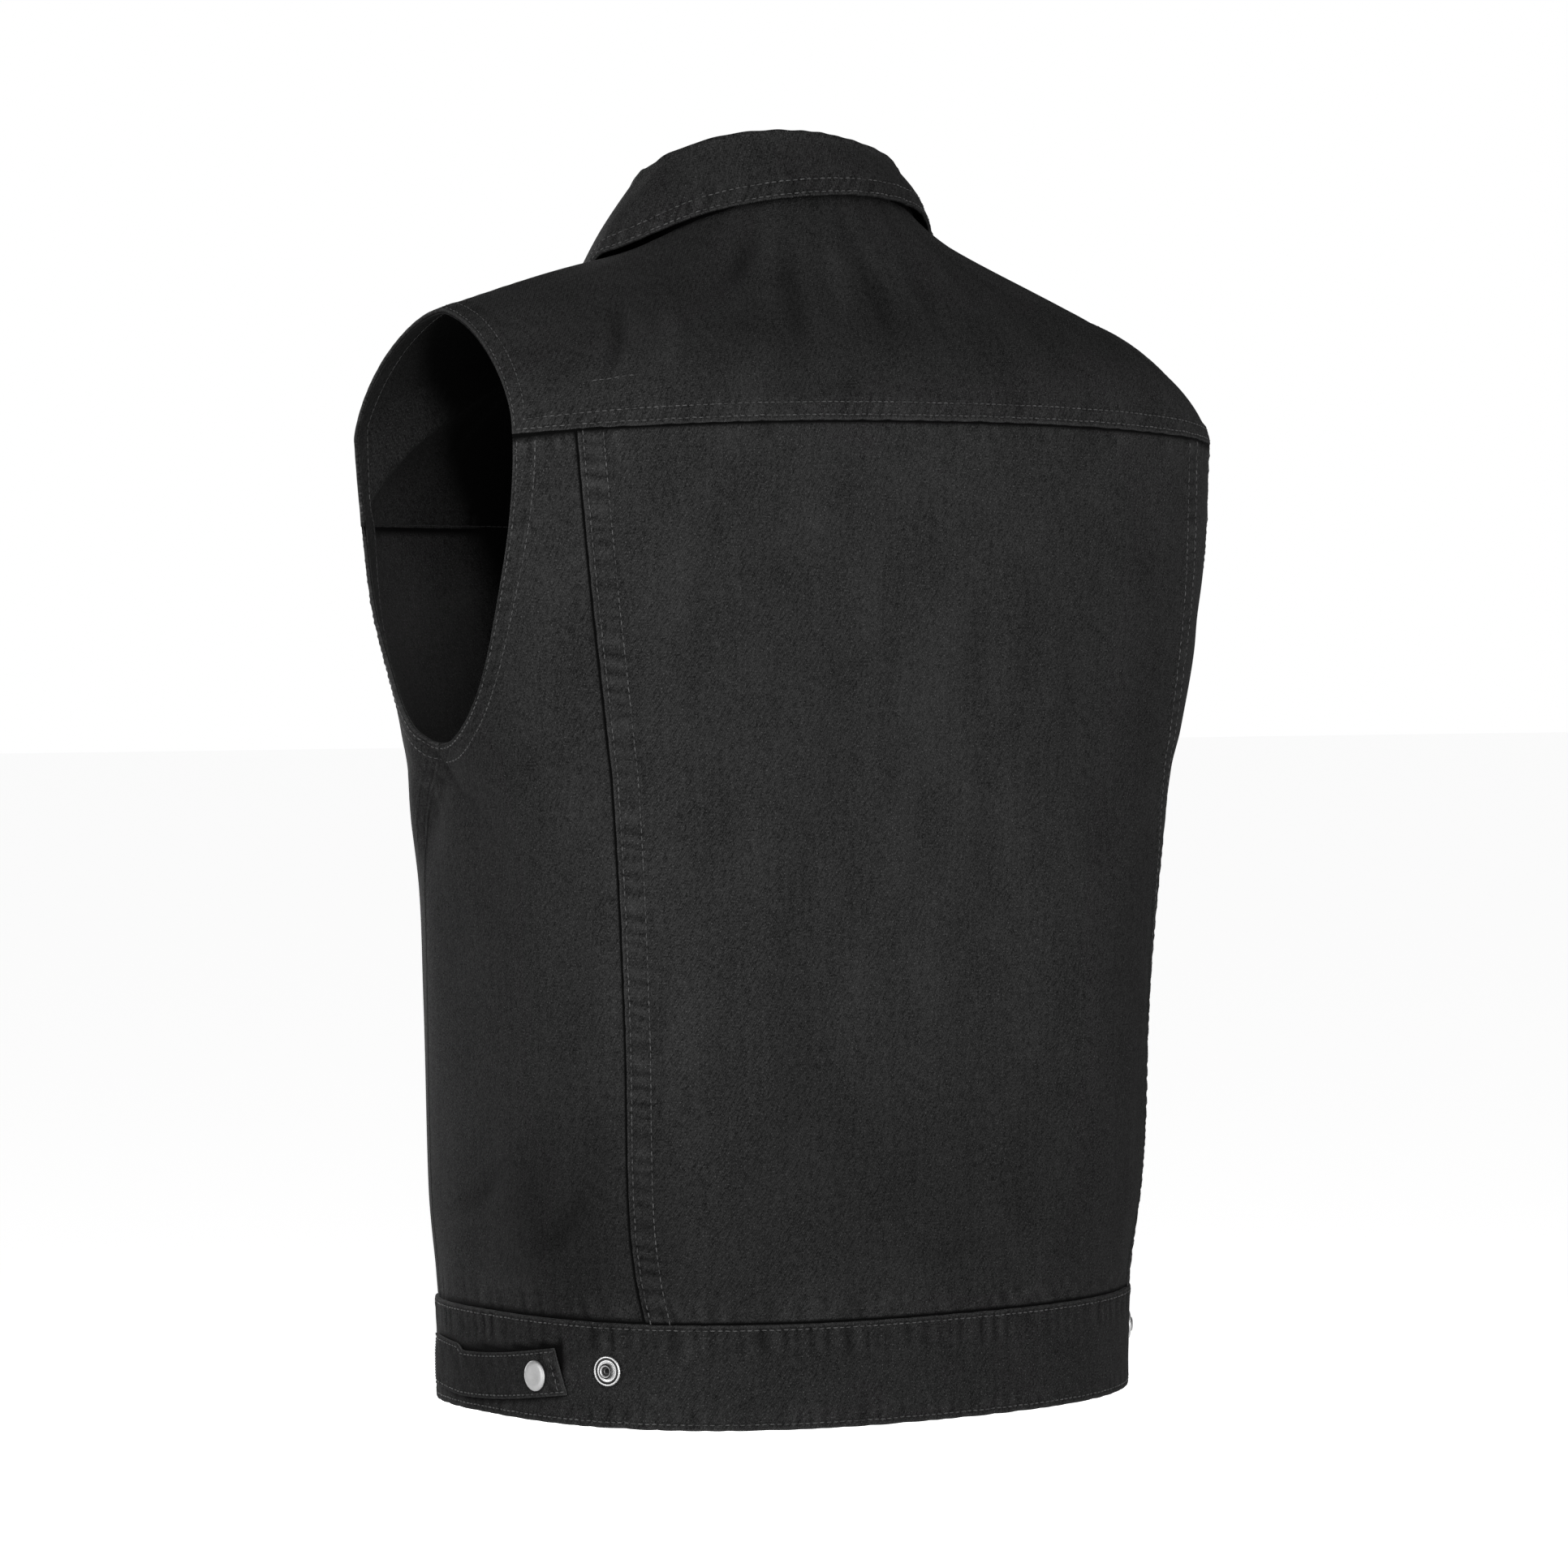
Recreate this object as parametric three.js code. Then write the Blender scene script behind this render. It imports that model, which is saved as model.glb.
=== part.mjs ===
// A sleeveless black denim vest with a folded collar, in the hollow shape that it has when it is worn.
// Millimetres, +Z up. The front faces -Y and the wearer's left is +X.
// Heights are measured up from the hem, and the whole vest is then lowered so that the origin
// lies between the shoulders that carry it.
import * as THREE from "three";

// Driving sizes
const HELD_HEIGHT = 590;
const CLOTH = 1.6;
const SEAM_GAP = 0.5;
const LAP = 0.9; // how far a lapped seam's folded edge stands up
const LAP_WIDTH = 11.5;
const LAP_FADE = 2.5;
const ARMHOLE_HEM = 0.5; // how much of a lap the turned armhole edge has

const BAND = { height: 53, thickness: 2.8, proud: 1.7 };
const PLACKET = { halfWidth: 18, thickness: 2.2 };
const FACING = { width: 15, thickness: 0.9 };
const COLLAR = { thickness: 2.0, endGap: 3, lift: 0.9, fold: 2.4 };
const TAB = {
  thickness: 2.2, lift: 0.4, fixed: 112.6, freeTop: 73.7, freeBottom: 70.9,
  freeHeight: 23.6, fixedHeight: 26.6, stepFrom: 0.68, stepTo: 0.74, capTurn: 77.4, capHeight: 23.6,
  low: (a) => 15 - 8.5 * Math.sin(Math.min(a / 0.72, 1) * Math.PI / 2) + 2.2 * Math.max(0, a - 0.72) / 0.28,
};
const STUD = { turn: 63, height: 29 };

// Level outlines of the body. Each is a rounded box: half its width, and its depth and roundness
// (2 is an ellipse, higher is boxier) behind and in front of the side line.
const SECTIONS = [
  { height: 0, halfWidth: 178, backDepth: 155, backPower: 2.5, frontDepth: 140, frontPower: 2.9 },
  { height: 55, halfWidth: 179, backDepth: 155, backPower: 2.55, frontDepth: 140, frontPower: 2.9 },
  { height: 110, halfWidth: 182.5, backDepth: 154, backPower: 2.85, frontDepth: 140, frontPower: 3.1 },
  { height: 206, halfWidth: 186, backDepth: 151, backPower: 3.1, frontDepth: 136, frontPower: 3.2 },
  { height: 270, halfWidth: 193.5, backDepth: 148, backPower: 3.1, frontDepth: 136, frontPower: 2.9 },
  { height: 330, halfWidth: 207, backDepth: 144, backPower: 3.0, frontDepth: 137, frontPower: 2.6 },
  { height: 350, halfWidth: 214, backDepth: 143, backPower: 3.0, frontDepth: 138, frontPower: 2.5 },
  { height: 412, halfWidth: 229, backDepth: 142, backPower: 3.0, frontDepth: 139, frontPower: 2.5 },
  { height: 458, halfWidth: 235, backDepth: 140, backPower: 3.0, frontDepth: 134, frontPower: 2.7 },
  { height: 512, halfWidth: 240, backDepth: 136, backPower: 3.0, frontDepth: 121, frontPower: 3.2 },
];
// The hem hangs a little lower at the wearer's left, and a little higher at both sides.
const HEM_TILT = { slope: 0.014, bow: 1.1, halfWidth: 178, fadeHeight: 260 };

// Soft troughs and ridges in the cloth: where they lie (degrees round from the centre back towards
// the wearer's left, and height), how far they spread, how they slant (degrees of turn for each
// millimetre of height) and how far they push the cloth out.
const FOLDS = [
  { turn: 97, height: 318, turnSpread: 4.5, heightSpread: 26, slant: -0.22, push: -4.5 },
  { turn: 104, height: 316, turnSpread: 5, heightSpread: 28, slant: -0.2, push: 2 },
  { turn: 84, height: 300, turnSpread: 5, heightSpread: 42, slant: 0.1, push: -2.2 },
  { turn: -86, height: 330, turnSpread: 5, heightSpread: 30, slant: -0.12, push: -3.8 },
  { turn: -99, height: 300, turnSpread: 6, heightSpread: 40, slant: 0.16, push: 3.2 },
  { turn: -72, height: 425, turnSpread: 5, heightSpread: 22, slant: -0.2, push: -2.6 },
  { turn: 66, height: 180, turnSpread: 8, heightSpread: 110, slant: 0, push: -1.6 },
  { turn: -66, height: 210, turnSpread: 9, heightSpread: 120, slant: 0, push: -1.4 },
  { turn: 22, height: 250, turnSpread: 7, heightSpread: 130, slant: 0.02, push: -1.5 },
  { turn: -14, height: 200, turnSpread: 8, heightSpread: 120, slant: -0.02, push: -1.3 },
  { turn: -38, height: 300, turnSpread: 7, heightSpread: 120, slant: 0.02, push: -1.6 },
  { turn: 140, height: 240, turnSpread: 9, heightSpread: 110, slant: -0.03, push: -2.4 },
  { turn: -142, height: 230, turnSpread: 9, heightSpread: 120, slant: 0.03, push: -2.4 },
  { turn: 117, height: 352, turnSpread: 11, heightSpread: 42, slant: -0.1, push: -5 },
  { turn: -74, height: 330, turnSpread: 14, heightSpread: 90, slant: 0, push: 2.6 },
  { turn: -122, height: 320, turnSpread: 9, heightSpread: 60, slant: 0.1, push: 2.4 },
];

// The armhole is an oval seen from the side, with a corner power for each quarter.
const ARMHOLE = {
  y: -5.5, height: 503, below: 157.6, above: 66, behind: 88, before: 75,
  lowerBack: 2, lowerFront: 1.9, upperBack: 1.45, upperFront: 1.75, tipX: 208,
};

const NECK = {
  halfWidth: 80, y: -13, height: 603,
  back: { depth: 69, rise: 30 },
  front: { depth: 73, rise: -66 },
};

const YOKE_SEAM_HEIGHT = 512;
const FRONT_SEAM_HEIGHT = 458;
const CORNER_SHARE = 0.68; // share of a yoke's columns that start on its seam, the rest at the armhole

// Princess seams of the back, as degrees from the centre back
const PRINCESS = [
  { height: 53, turn: 56.4 },
  { height: 75, turn: 57.6 },
  { height: 110, turn: 58.2 },
  { height: 206, turn: 58.2 },
  { height: 330, turn: 58.9 },
  { height: 412, turn: 59.9 },
  { height: 512, turn: 61.9 },
];

const SIDE_SEAM = [
  { height: 0, turn: 113.8 },
  { height: 120, turn: 113 },
  { height: 220, turn: 110.5 },
  { height: 300, turn: 103 },
  { height: 345.4, turn: 91.5 },
];

// Small helpers
const rad = THREE.MathUtils.degToRad;
const mix = THREE.MathUtils.lerp;
const smooth = THREE.MathUtils.smoothstep;
const vec = (x, y, z) => new THREE.Vector3(x, y, z);
const span = (count) => Array.from({ length: count + 1 }, (_, i) => i / count);

// A smooth curve through one column of a table, by height
function column(table, name, height) {
  let i = 0;
  while (i < table.length - 2 && height > table[i + 1].height) i++;
  const slope = (k) => {
    const low = table[Math.max(k - 1, 0)];
    const high = table[Math.min(k + 1, table.length - 1)];
    return (high[name] - low[name]) / (high.height - low.height);
  };
  const [p, q] = [table[i], table[i + 1]];
  const step = q.height - p.height;
  const t = THREE.MathUtils.clamp((height - p.height) / step, 0, 1);
  const t2 = t * t;
  const t3 = t2 * t;
  return (2 * t3 - 3 * t2 + 1) * p[name] + (t3 - 2 * t2 + t) * step * slope(i)
    + (3 * t2 - 2 * t3) * q[name] + (t3 - t2) * step * slope(i + 1);
}

// The body's surface at a turn (radians from the centre back) and a height
function foldPush(turn, height) {
  const degrees = THREE.MathUtils.radToDeg(turn);
  return FOLDS.reduce((sum, f) => {
    const rise = height - f.height;
    const across = (degrees - f.turn - f.slant * rise) / f.turnSpread;
    return sum + f.push * Math.exp(-across * across - (rise / f.heightSpread) ** 2);
  }, 0);
}

function boxRadius(turn, halfWidth, depth, power) {
  const across = Math.abs(Math.sin(turn)) / halfWidth;
  const along = Math.abs(Math.cos(turn)) / depth;
  return (across ** power + along ** power) ** (-1 / power);
}

function bodyPoint(turn, height) {
  const side = Math.cos(turn) < 0 ? "front" : "back";
  const radius = boxRadius(turn, column(SECTIONS, "halfWidth", height),
    column(SECTIONS, side + "Depth", height), column(SECTIONS, side + "Power", height));
  const fade = smooth(height, 20, 90);
  const reach = radius + fade * foldPush(turn, height);
  return vec(reach * Math.sin(turn), reach * Math.cos(turn), height);
}

// The armhole's edge: 0 at the bottom, a quarter at the back, a half at the shoulder tip,
// three quarters at the front
function armholeYZ(turn) {
  const along = Math.sin(turn * 2 * Math.PI);
  const up = -Math.cos(turn * 2 * Math.PI);
  const power = ARMHOLE[(up < 0 ? "lower" : "upper") + (along >= 0 ? "Back" : "Front")];
  const swell = (value, reach) => reach * Math.abs(value) ** (2 / power);
  return {
    y: ARMHOLE.y + (along >= 0 ? swell(along, ARMHOLE.behind) : -swell(along, ARMHOLE.before)),
    height: ARMHOLE.height + (up < 0 ? -swell(up, ARMHOLE.below) : swell(up, ARMHOLE.above)),
  };
}

function turnAt(y, height) {
  const side = y < 0 ? "front" : "back";
  const power = column(SECTIONS, side + "Power", height);
  const depth = column(SECTIONS, side + "Depth", height);
  const x = column(SECTIONS, "halfWidth", height)
    * (1 - (Math.abs(y) / depth) ** power) ** (1 / power);
  return Math.atan2(x, y);
}

function armholeEdge(turn) {
  const { y, height } = armholeYZ(turn);
  if (height <= ARMHOLE.height) return bodyPoint(turnAt(y, height), height);
  const widest = armholeYZ(turn < 0.5 ? 0.25 : 0.75).y;
  const root = bodyPoint(turnAt(widest, ARMHOLE.height), ARMHOLE.height);
  const climb = (height - ARMHOLE.height) / ARMHOLE.above;
  return vec(mix(root.x, ARMHOLE.tipX, climb ** 1.15), y, height);
}

// The seams where the yokes meet the panels
function armholeTurn(height, power) {
  const drop = (ARMHOLE.height - height) / ARMHOLE.below;
  return Math.acos(drop ** (power / 2)) / (2 * Math.PI);
}
const CORNER = armholeTurn(FRONT_SEAM_HEIGHT, ARMHOLE.lowerFront);
const BACK_CORNER_TURN = turnAt(armholeYZ(0.25).y, ARMHOLE.height);
const FRONT_CORNER = armholeYZ(1 - CORNER);
const FRONT_CORNER_TURN = turnAt(FRONT_CORNER.y, FRONT_CORNER.height);

function backSeamHeight(turn) {
  const droop = YOKE_SEAM_HEIGHT - ARMHOLE.height;
  return YOKE_SEAM_HEIGHT - droop * Math.min(1, Math.abs(turn) / BACK_CORNER_TURN) ** 3;
}

// The neckline, from the centre (0) to the shoulder seam (1)
function neckPoint(side, share) {
  const { depth, rise } = NECK[side];
  const beta = (share * Math.PI) / 2;
  const forward = side === "back" ? 1 : -1;
  return vec(NECK.halfWidth * Math.sin(beta), NECK.y + forward * depth * Math.cos(beta),
    NECK.height + rise * Math.cos(beta));
}

// The yokes are fans of curves that run from the seam and the armhole up to the neckline.
const FAN = {
  back: {
    centreOut: 0.5, centreDown: 0.87, lean: 0.16, cornerLean: 0.08, fuller: 10.5,
    corner: BACK_CORNER_TURN, seamHeight: ARMHOLE.height,
  },
  front: {
    centreOut: 0.66, centreDown: 0.75, lean: 0.2, cornerLean: 0, fuller: 0,
    corner: FRONT_CORNER_TURN, seamHeight: FRONT_SEAM_HEIGHT,
  },
};
const FULL = { from: 0.4, peak: 0.76 }; // shares of a yoke between which its shoulder grows fuller
const SHOULDER_START = vec(-0.93, 0, 0.34);
const SHOULDER_END = { out: 0.985, down: 0.17 };
const CURVE_REACH = { start: 0.3, end: 0.36 };

// The way a curve sets off: up from the seam, askew at its corner, and inwards from the shoulder's tip
function startWay(side, share, start) {
  const { lean, cornerLean, corner, seamHeight } = FAN[side];
  const forward = side === "back" ? 1 : -1;
  const alongSeam = bodyPoint(corner - 0.05 * forward, seamHeight)
    .sub(bodyPoint(corner, seamHeight)).normalize();
  const near = Math.min(1, share / CORNER_SHARE);
  const fall = mix(lean, cornerLean, near * near);
  const way = vec(start.x, start.y, 0).normalize().multiplyScalar(-fall).setZ(1);
  if (share <= CORNER_SHARE) {
    return way.addScaledVector(alongSeam, 0.8 * (share / CORNER_SHARE) ** 4).normalize();
  }
  way.addScaledVector(alongSeam, 0.8).normalize();
  const left = (1 - share) / (1 - CORNER_SHARE);
  return way.lerp(SHOULDER_START, 1 - left * left).normalize();
}

function fanStart(side, share) {
  if (share > CORNER_SHARE) {
    const climb = (share - CORNER_SHARE) / (1 - CORNER_SHARE);
    return armholeEdge(side === "back" ? mix(0.25, 0.5, climb) : mix(1 - CORNER, 0.5, climb));
  }
  const along = share / CORNER_SHARE;
  if (side === "back") {
    const turn = along * BACK_CORNER_TURN;
    return bodyPoint(turn, backSeamHeight(turn));
  }
  return bodyPoint(mix(Math.PI, FRONT_CORNER_TURN, along), FRONT_SEAM_HEIGHT);
}

function fanCurve(side, share, neckShare = share) {
  const start = fanStart(side, share);
  const end = neckPoint(side, neckShare);
  const forward = side === "back" ? 1 : -1;
  const { centreOut, centreDown, fuller } = FAN[side];
  const beta = (neckShare * Math.PI) / 2;
  const round = neckShare ** 2;
  const out = mix(centreOut, SHOULDER_END.out, round);
  const down = mix(centreDown, SHOULDER_END.down, round);
  const endWay = vec(out * Math.sin(beta), forward * out * Math.cos(beta), -down).normalize();
  const length = start.distanceTo(end);
  const afterStart = start.clone().addScaledVector(startWay(side, share, start), length * CURVE_REACH.start);
  const beforeEnd = end.clone().addScaledVector(endWay, length * CURVE_REACH.end);
  beforeEnd.z += fuller * smooth(share, FULL.from, FULL.peak) * (1 - smooth(share, FULL.peak, 1));
  return new THREE.CubicBezierCurve3(start, afterStart, beforeEnd, end);
}

// Each surface is a function of two shares, a across the piece and b up it.
function normalAt(surface, a, b) {
  const h = 1e-3;
  const da = surface(Math.min(a + h, 1), b).sub(surface(Math.max(a - h, 0), b));
  const db = surface(a, Math.min(b + h, 1)).sub(surface(a, Math.max(b - h, 0)));
  return da.cross(db).normalize();
}

// 1 where a surface's normal already points out of the body, -1 where it points in
function outwardSign(surface) {
  const middle = surface(0.5, 0.5);
  const fromInside = middle.clone().sub(vec(0, -10, Math.min(middle.z, 480)));
  return Math.sign(normalAt(surface, 0.5, 0.5).dot(fromInside));
}

function signedVolume(positions, faces) {
  const corner = (k) => vec().fromArray(positions, 3 * faces[k]);
  let sum = 0;
  for (let i = 0; i < faces.length; i += 3) {
    sum += corner(i).dot(corner(i + 1).cross(corner(i + 2)));
  }
  return sum / 6;
}

// A closed wall from rows of stations { outer, inner }. A ring's last row meets its first.
function wallFromGrid(grid, ring = false) {
  const rows = grid.length;
  const columns = grid[0].length;
  const positions = ["outer", "inner"].flatMap((face) => grid.flat().flatMap((p) => p[face].toArray()));
  const outer = (i, j) => (i % rows) * columns + j;
  const inner = (i, j) => rows * columns + outer(i, j);
  const faces = [];
  const quad = (a, b, c, d) => faces.push(a, b, c, a, c, d);
  const last = columns - 1;
  for (let i = 0; i < (ring ? rows : rows - 1); i++) {
    for (let j = 0; j < last; j++) {
      quad(outer(i, j), outer(i, j + 1), outer(i + 1, j + 1), outer(i + 1, j));
      quad(inner(i, j), inner(i + 1, j), inner(i + 1, j + 1), inner(i, j + 1));
    }
    quad(outer(i, 0), outer(i + 1, 0), inner(i + 1, 0), inner(i, 0));
    quad(outer(i, last), inner(i, last), inner(i + 1, last), outer(i + 1, last));
  }
  for (let j = 0; j < last && !ring; j++) {
    quad(outer(0, j), inner(0, j), inner(0, j + 1), outer(0, j + 1));
    quad(outer(rows - 1, j), outer(rows - 1, j + 1), inner(rows - 1, j + 1), inner(rows - 1, j));
  }
  if (signedVolume(positions, faces) < 0) faces.reverse();
  const geometry = new THREE.BufferGeometry();
  geometry.setAttribute("position", new THREE.Float32BufferAttribute(positions, 3));
  geometry.setIndex(faces);
  return geometry;
}

// A wall over a surface. raise lifts its outer face, sink moves the whole wall inwards, and level
// marks the edges that meet another piece squarely, front to back.
function wall(surface, across, down, options = {}) {
  const { thickness = CLOTH, raise = () => 0, sink = () => 0, level = () => false } = options;
  const sign = outwardSign(surface);
  return wallFromGrid(across.map((a) => down(a).map((b) => {
    const point = surface(a, b);
    const normal = normalAt(surface, a, b).multiplyScalar(sign);
    if (level(a)) normal.setY(0).normalize();
    return {
      outer: point.clone().addScaledVector(normal, raise(a, b) - sink(a, b)),
      inner: point.clone().addScaledVector(normal, -thickness - sink(a, b)),
    };
  })));
}

// Shares of a length, with the stations of a lapped seam at its start, its end or both
function lapShares(count, length, { start = false, end = false }) {
  const lap = [LAP_WIDTH / length, (LAP_WIDTH + LAP_FADE) / length];
  const from = start ? [0, ...lap] : [0];
  const to = end ? [1 - lap[1], 1 - lap[0], 1] : [1];
  const between = span(count).slice(1, -1).map((t) => mix(from[from.length - 1], to[0], t));
  return [...from, ...between, ...to];
}
const lapRaise = (distance) => LAP * (1 - smooth(distance, LAP_WIDTH, LAP_WIDTH + LAP_FADE));

const denim = () => new THREE.MeshStandardMaterial({ color: 0x1f1f21, roughness: 0.92, metalness: 0 });
const metal = () => new THREE.MeshStandardMaterial({ color: 0xa9a9a6, roughness: 0.35, metalness: 0.9 });

const vest = new THREE.Group();
vest.position.z = -HELD_HEIGHT;

function tiltHem(geometry) {
  const position = geometry.attributes.position;
  for (let i = 0; i < position.count; i++) {
    const fade = 1 - smooth(position.getZ(i), 0, HEM_TILT.fadeHeight);
    const x = position.getX(i);
    const rise = HEM_TILT.bow * (x / HEM_TILT.halfWidth) ** 2 - HEM_TILT.slope * x;
    position.setZ(i, position.getZ(i) + rise * fade);
  }
  return geometry;
}

function add(name, geometry, material = denim()) {
  const mesh = new THREE.Mesh(tiltHem(geometry), material);
  mesh.name = name;
  vest.add(mesh);
}

// surfaceOn(1) is the wearer's left side and surfaceOn(-1) the right
function addPair(name, surfaceOn, across, down, options) {
  add(name + "_left", wall(surfaceOn(1), across, down, options));
  add(name + "_right", wall(surfaceOn(-1), across, down, options));
}

// Lower panels: rows run from the foot to the underarm, and above it to the yoke seam.
const PANEL_FOOT = BAND.height + SEAM_GAP;
const UNDERARM_SHARE = 0.56;
const UNDERARM_HEIGHT = ARMHOLE.height - ARMHOLE.below;
const UNDERARM_LEVEL = 322; // height at the far edge of the row that ends at the underarm
const PANEL_ROWS = [...span(8).map((t) => t * UNDERARM_SHARE),
  ...span(9).slice(1).map((t) => mix(UNDERARM_SHARE, 1, t))];

const climbOf = (b) => (b > UNDERARM_SHARE ? (b - UNDERARM_SHARE) / (1 - UNDERARM_SHARE)
  : b / UNDERARM_SHARE);
const rowHeight = (b, level, top) => (b > UNDERARM_SHARE ? mix(level, top, climbOf(b))
  : mix(PANEL_FOOT, level, climbOf(b)));
const gapTurn = (turn, height) => SEAM_GAP / 2 / bodyPoint(turn, height).setZ(0).length();
const princessTurn = (height) => rad(column(PRINCESS, "turn", height));
const sideTurn = (height) => rad(column(SIDE_SEAM, "turn", height));

const PRINCESS_TOP = backSeamHeight(princessTurn(YOKE_SEAM_HEIGHT)) - SEAM_GAP;
const BACK_WIDTH = 412;
function backCentreSurface(a, b) {
  const height = rowHeight(b, UNDERARM_LEVEL, PRINCESS_TOP);
  const reach = princessTurn(height) - gapTurn(princessTurn(height), height);
  const turn = (1 - 2 * a) * reach;
  const share = (height - PANEL_FOOT) / (PRINCESS_TOP - PANEL_FOOT);
  return bodyPoint(turn, mix(PANEL_FOOT, backSeamHeight(turn) - SEAM_GAP, share));
}
add("back_centre", wall(backCentreSurface, lapShares(13, BACK_WIDTH, { start: true, end: true }),
  () => PANEL_ROWS, { raise: (a) => lapRaise(Math.min(a, 1 - a) * BACK_WIDTH) }));

// A side panel's outer edge is the side seam up to the underarm, and then the armhole.
function sidePanelPoint(a, b, hand, { side, top, innerTurn, armholeFrom, armholeTo }) {
  const height = rowHeight(b, UNDERARM_LEVEL, top);
  const edge = { height: mix(PANEL_FOOT, UNDERARM_HEIGHT, climbOf(b)) };
  if (b > UNDERARM_SHARE) {
    const armhole = armholeYZ(mix(armholeFrom, armholeTo, climbOf(b)));
    edge.height = armhole.height;
    edge.turn = turnAt(armhole.y, armhole.height);
  } else {
    const seam = sideTurn(edge.height);
    edge.turn = seam + side * gapTurn(seam, edge.height);
  }
  return bodyPoint(hand * mix(innerTurn(height), edge.turn, a), mix(height, edge.height, a));
}

const backSideSurface = (hand) => (a, b) => sidePanelPoint(a, b, hand, {
  side: -1,
  top: PRINCESS_TOP,
  innerTurn: (height) => princessTurn(height) + gapTurn(princessTurn(height), height),
  armholeFrom: 0,
  armholeTo: armholeTurn(ARMHOLE.height - SEAM_GAP, ARMHOLE.lowerBack),
});
const FRONT_EDGE_X = PLACKET.halfWidth + SEAM_GAP;
const frontEdgeTurn = (height) => Math.PI - Math.atan2(FRONT_EDGE_X, column(SECTIONS, "frontDepth", height));
const frontPanelSurface = (hand) => (a, b) => sidePanelPoint(a, b, hand, {
  side: 1,
  top: FRONT_SEAM_HEIGHT - SEAM_GAP,
  innerTurn: frontEdgeTurn,
  armholeFrom: 1,
  armholeTo: 1 - armholeTurn(FRONT_SEAM_HEIGHT - SEAM_GAP, ARMHOLE.lowerFront),
});
addPair("back_side", backSideSurface, span(8), () => PANEL_ROWS);
addPair("front_panel", frontPanelSurface, span(11), () => PANEL_ROWS);

// Yokes. A shoulder seam lies between them, and the back yoke is one piece from side to side.
function yokePoint(side, share, neckShare, b) {
  const point = fanCurve(side, share, neckShare).getPoint(b);
  const forward = side === "back" ? 1 : -1;
  point.y += forward * (SEAM_GAP / 2) * smooth(share, 0.9, 1);
  return point;
}

function backYokeSurface(a, b) {
  const share = 1 - 2 * a;
  const point = yokePoint("back", Math.abs(share), Math.abs(share), b);
  if (share < 0) point.x = -point.x;
  return point;
}

const FRONT_START = CORNER_SHARE * (Math.PI - frontEdgeTurn(FRONT_SEAM_HEIGHT))
  / (Math.PI - FRONT_CORNER_TURN);
const NECK_START = Math.asin(FRONT_EDGE_X / NECK.halfWidth) / (Math.PI / 2);
const frontYokeSurface = (hand) => (a, b) => {
  const edge = yokePoint("front", FRONT_START, NECK_START, b);
  const point = yokePoint("front", mix(FRONT_START, 1, a), mix(NECK_START, 1, a), b);
  point.x = hand * (point.x + (FRONT_EDGE_X - edge.x) * (1 - a) ** 2);
  return point;
};

const YOKE_ROWS = 8;
const yokeLength = (surface, a) => surface(a, 0).distanceTo(surface(a, 1));
const yokeDown = (surface) => (a) => lapShares(YOKE_ROWS, yokeLength(surface, a), { start: true });
const yokeRaise = (surface, shareOf) => (a, b) => {
  const onSeam = 1 - smooth(shareOf(a), CORNER_SHARE - 0.02, CORNER_SHARE + 0.04);
  return mix(ARMHOLE_HEM, 1, onSeam) * lapRaise(b * yokeLength(surface, a));
};
const halfColumns = [...span(8).map((t) => t * CORNER_SHARE),
  ...span(8).slice(1).map((t) => mix(CORNER_SHARE, 1, t))];
const backColumns = [...halfColumns.map((t) => (1 - t) / 2).reverse(),
  ...halfColumns.slice(1).map((t) => (1 + t) / 2)];
add("back_yoke", wall(backYokeSurface, backColumns, yokeDown(backYokeSurface), {
  raise: yokeRaise(backYokeSurface, (a) => Math.abs(1 - 2 * a)),
  level: (a) => a === 0 || a === 1,
}));
const frontColumns = halfColumns.filter((t) => t === 0 || t > FRONT_START + 0.03)
  .map((t) => Math.max(0, (t - FRONT_START) / (1 - FRONT_START)));
addPair("front_yoke", frontYokeSurface, frontColumns, yokeDown(frontYokeSurface(1)), {
  raise: yokeRaise(frontYokeSurface(1), (a) => mix(FRONT_START, 1, a)),
  level: (a) => a === 1,
});

// Plackets: the wearer's left one lies over the right one.
const PLACKET_SEAM_SHARE = 0.8;
const PLACKET_TOP = 0.98;
function placketPoint(x, b) {
  const upper = b > PLACKET_SEAM_SHARE;
  const edge = upper
    ? frontYokeSurface(1)(0, PLACKET_TOP * (b - PLACKET_SEAM_SHARE) / (1 - PLACKET_SEAM_SHARE))
    : bodyPoint(frontEdgeTurn(mix(PANEL_FOOT, FRONT_SEAM_HEIGHT, b / PLACKET_SEAM_SHARE)),
      mix(PANEL_FOOT, FRONT_SEAM_HEIGHT, b / PLACKET_SEAM_SHARE));
  return vec(x, edge.y, edge.z);
}
const placketSurface = (a, b) => placketPoint(mix(-PLACKET.halfWidth, PLACKET.halfWidth, a), b);
const placketRows = span(20);
add("placket_left", wall(placketSurface, span(2), () => placketRows, { thickness: PLACKET.thickness }));
add("placket_right", wall(placketSurface, span(2), () => placketRows, {
  thickness: PLACKET.thickness,
  sink: () => PLACKET.thickness + SEAM_GAP,
}));

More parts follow.
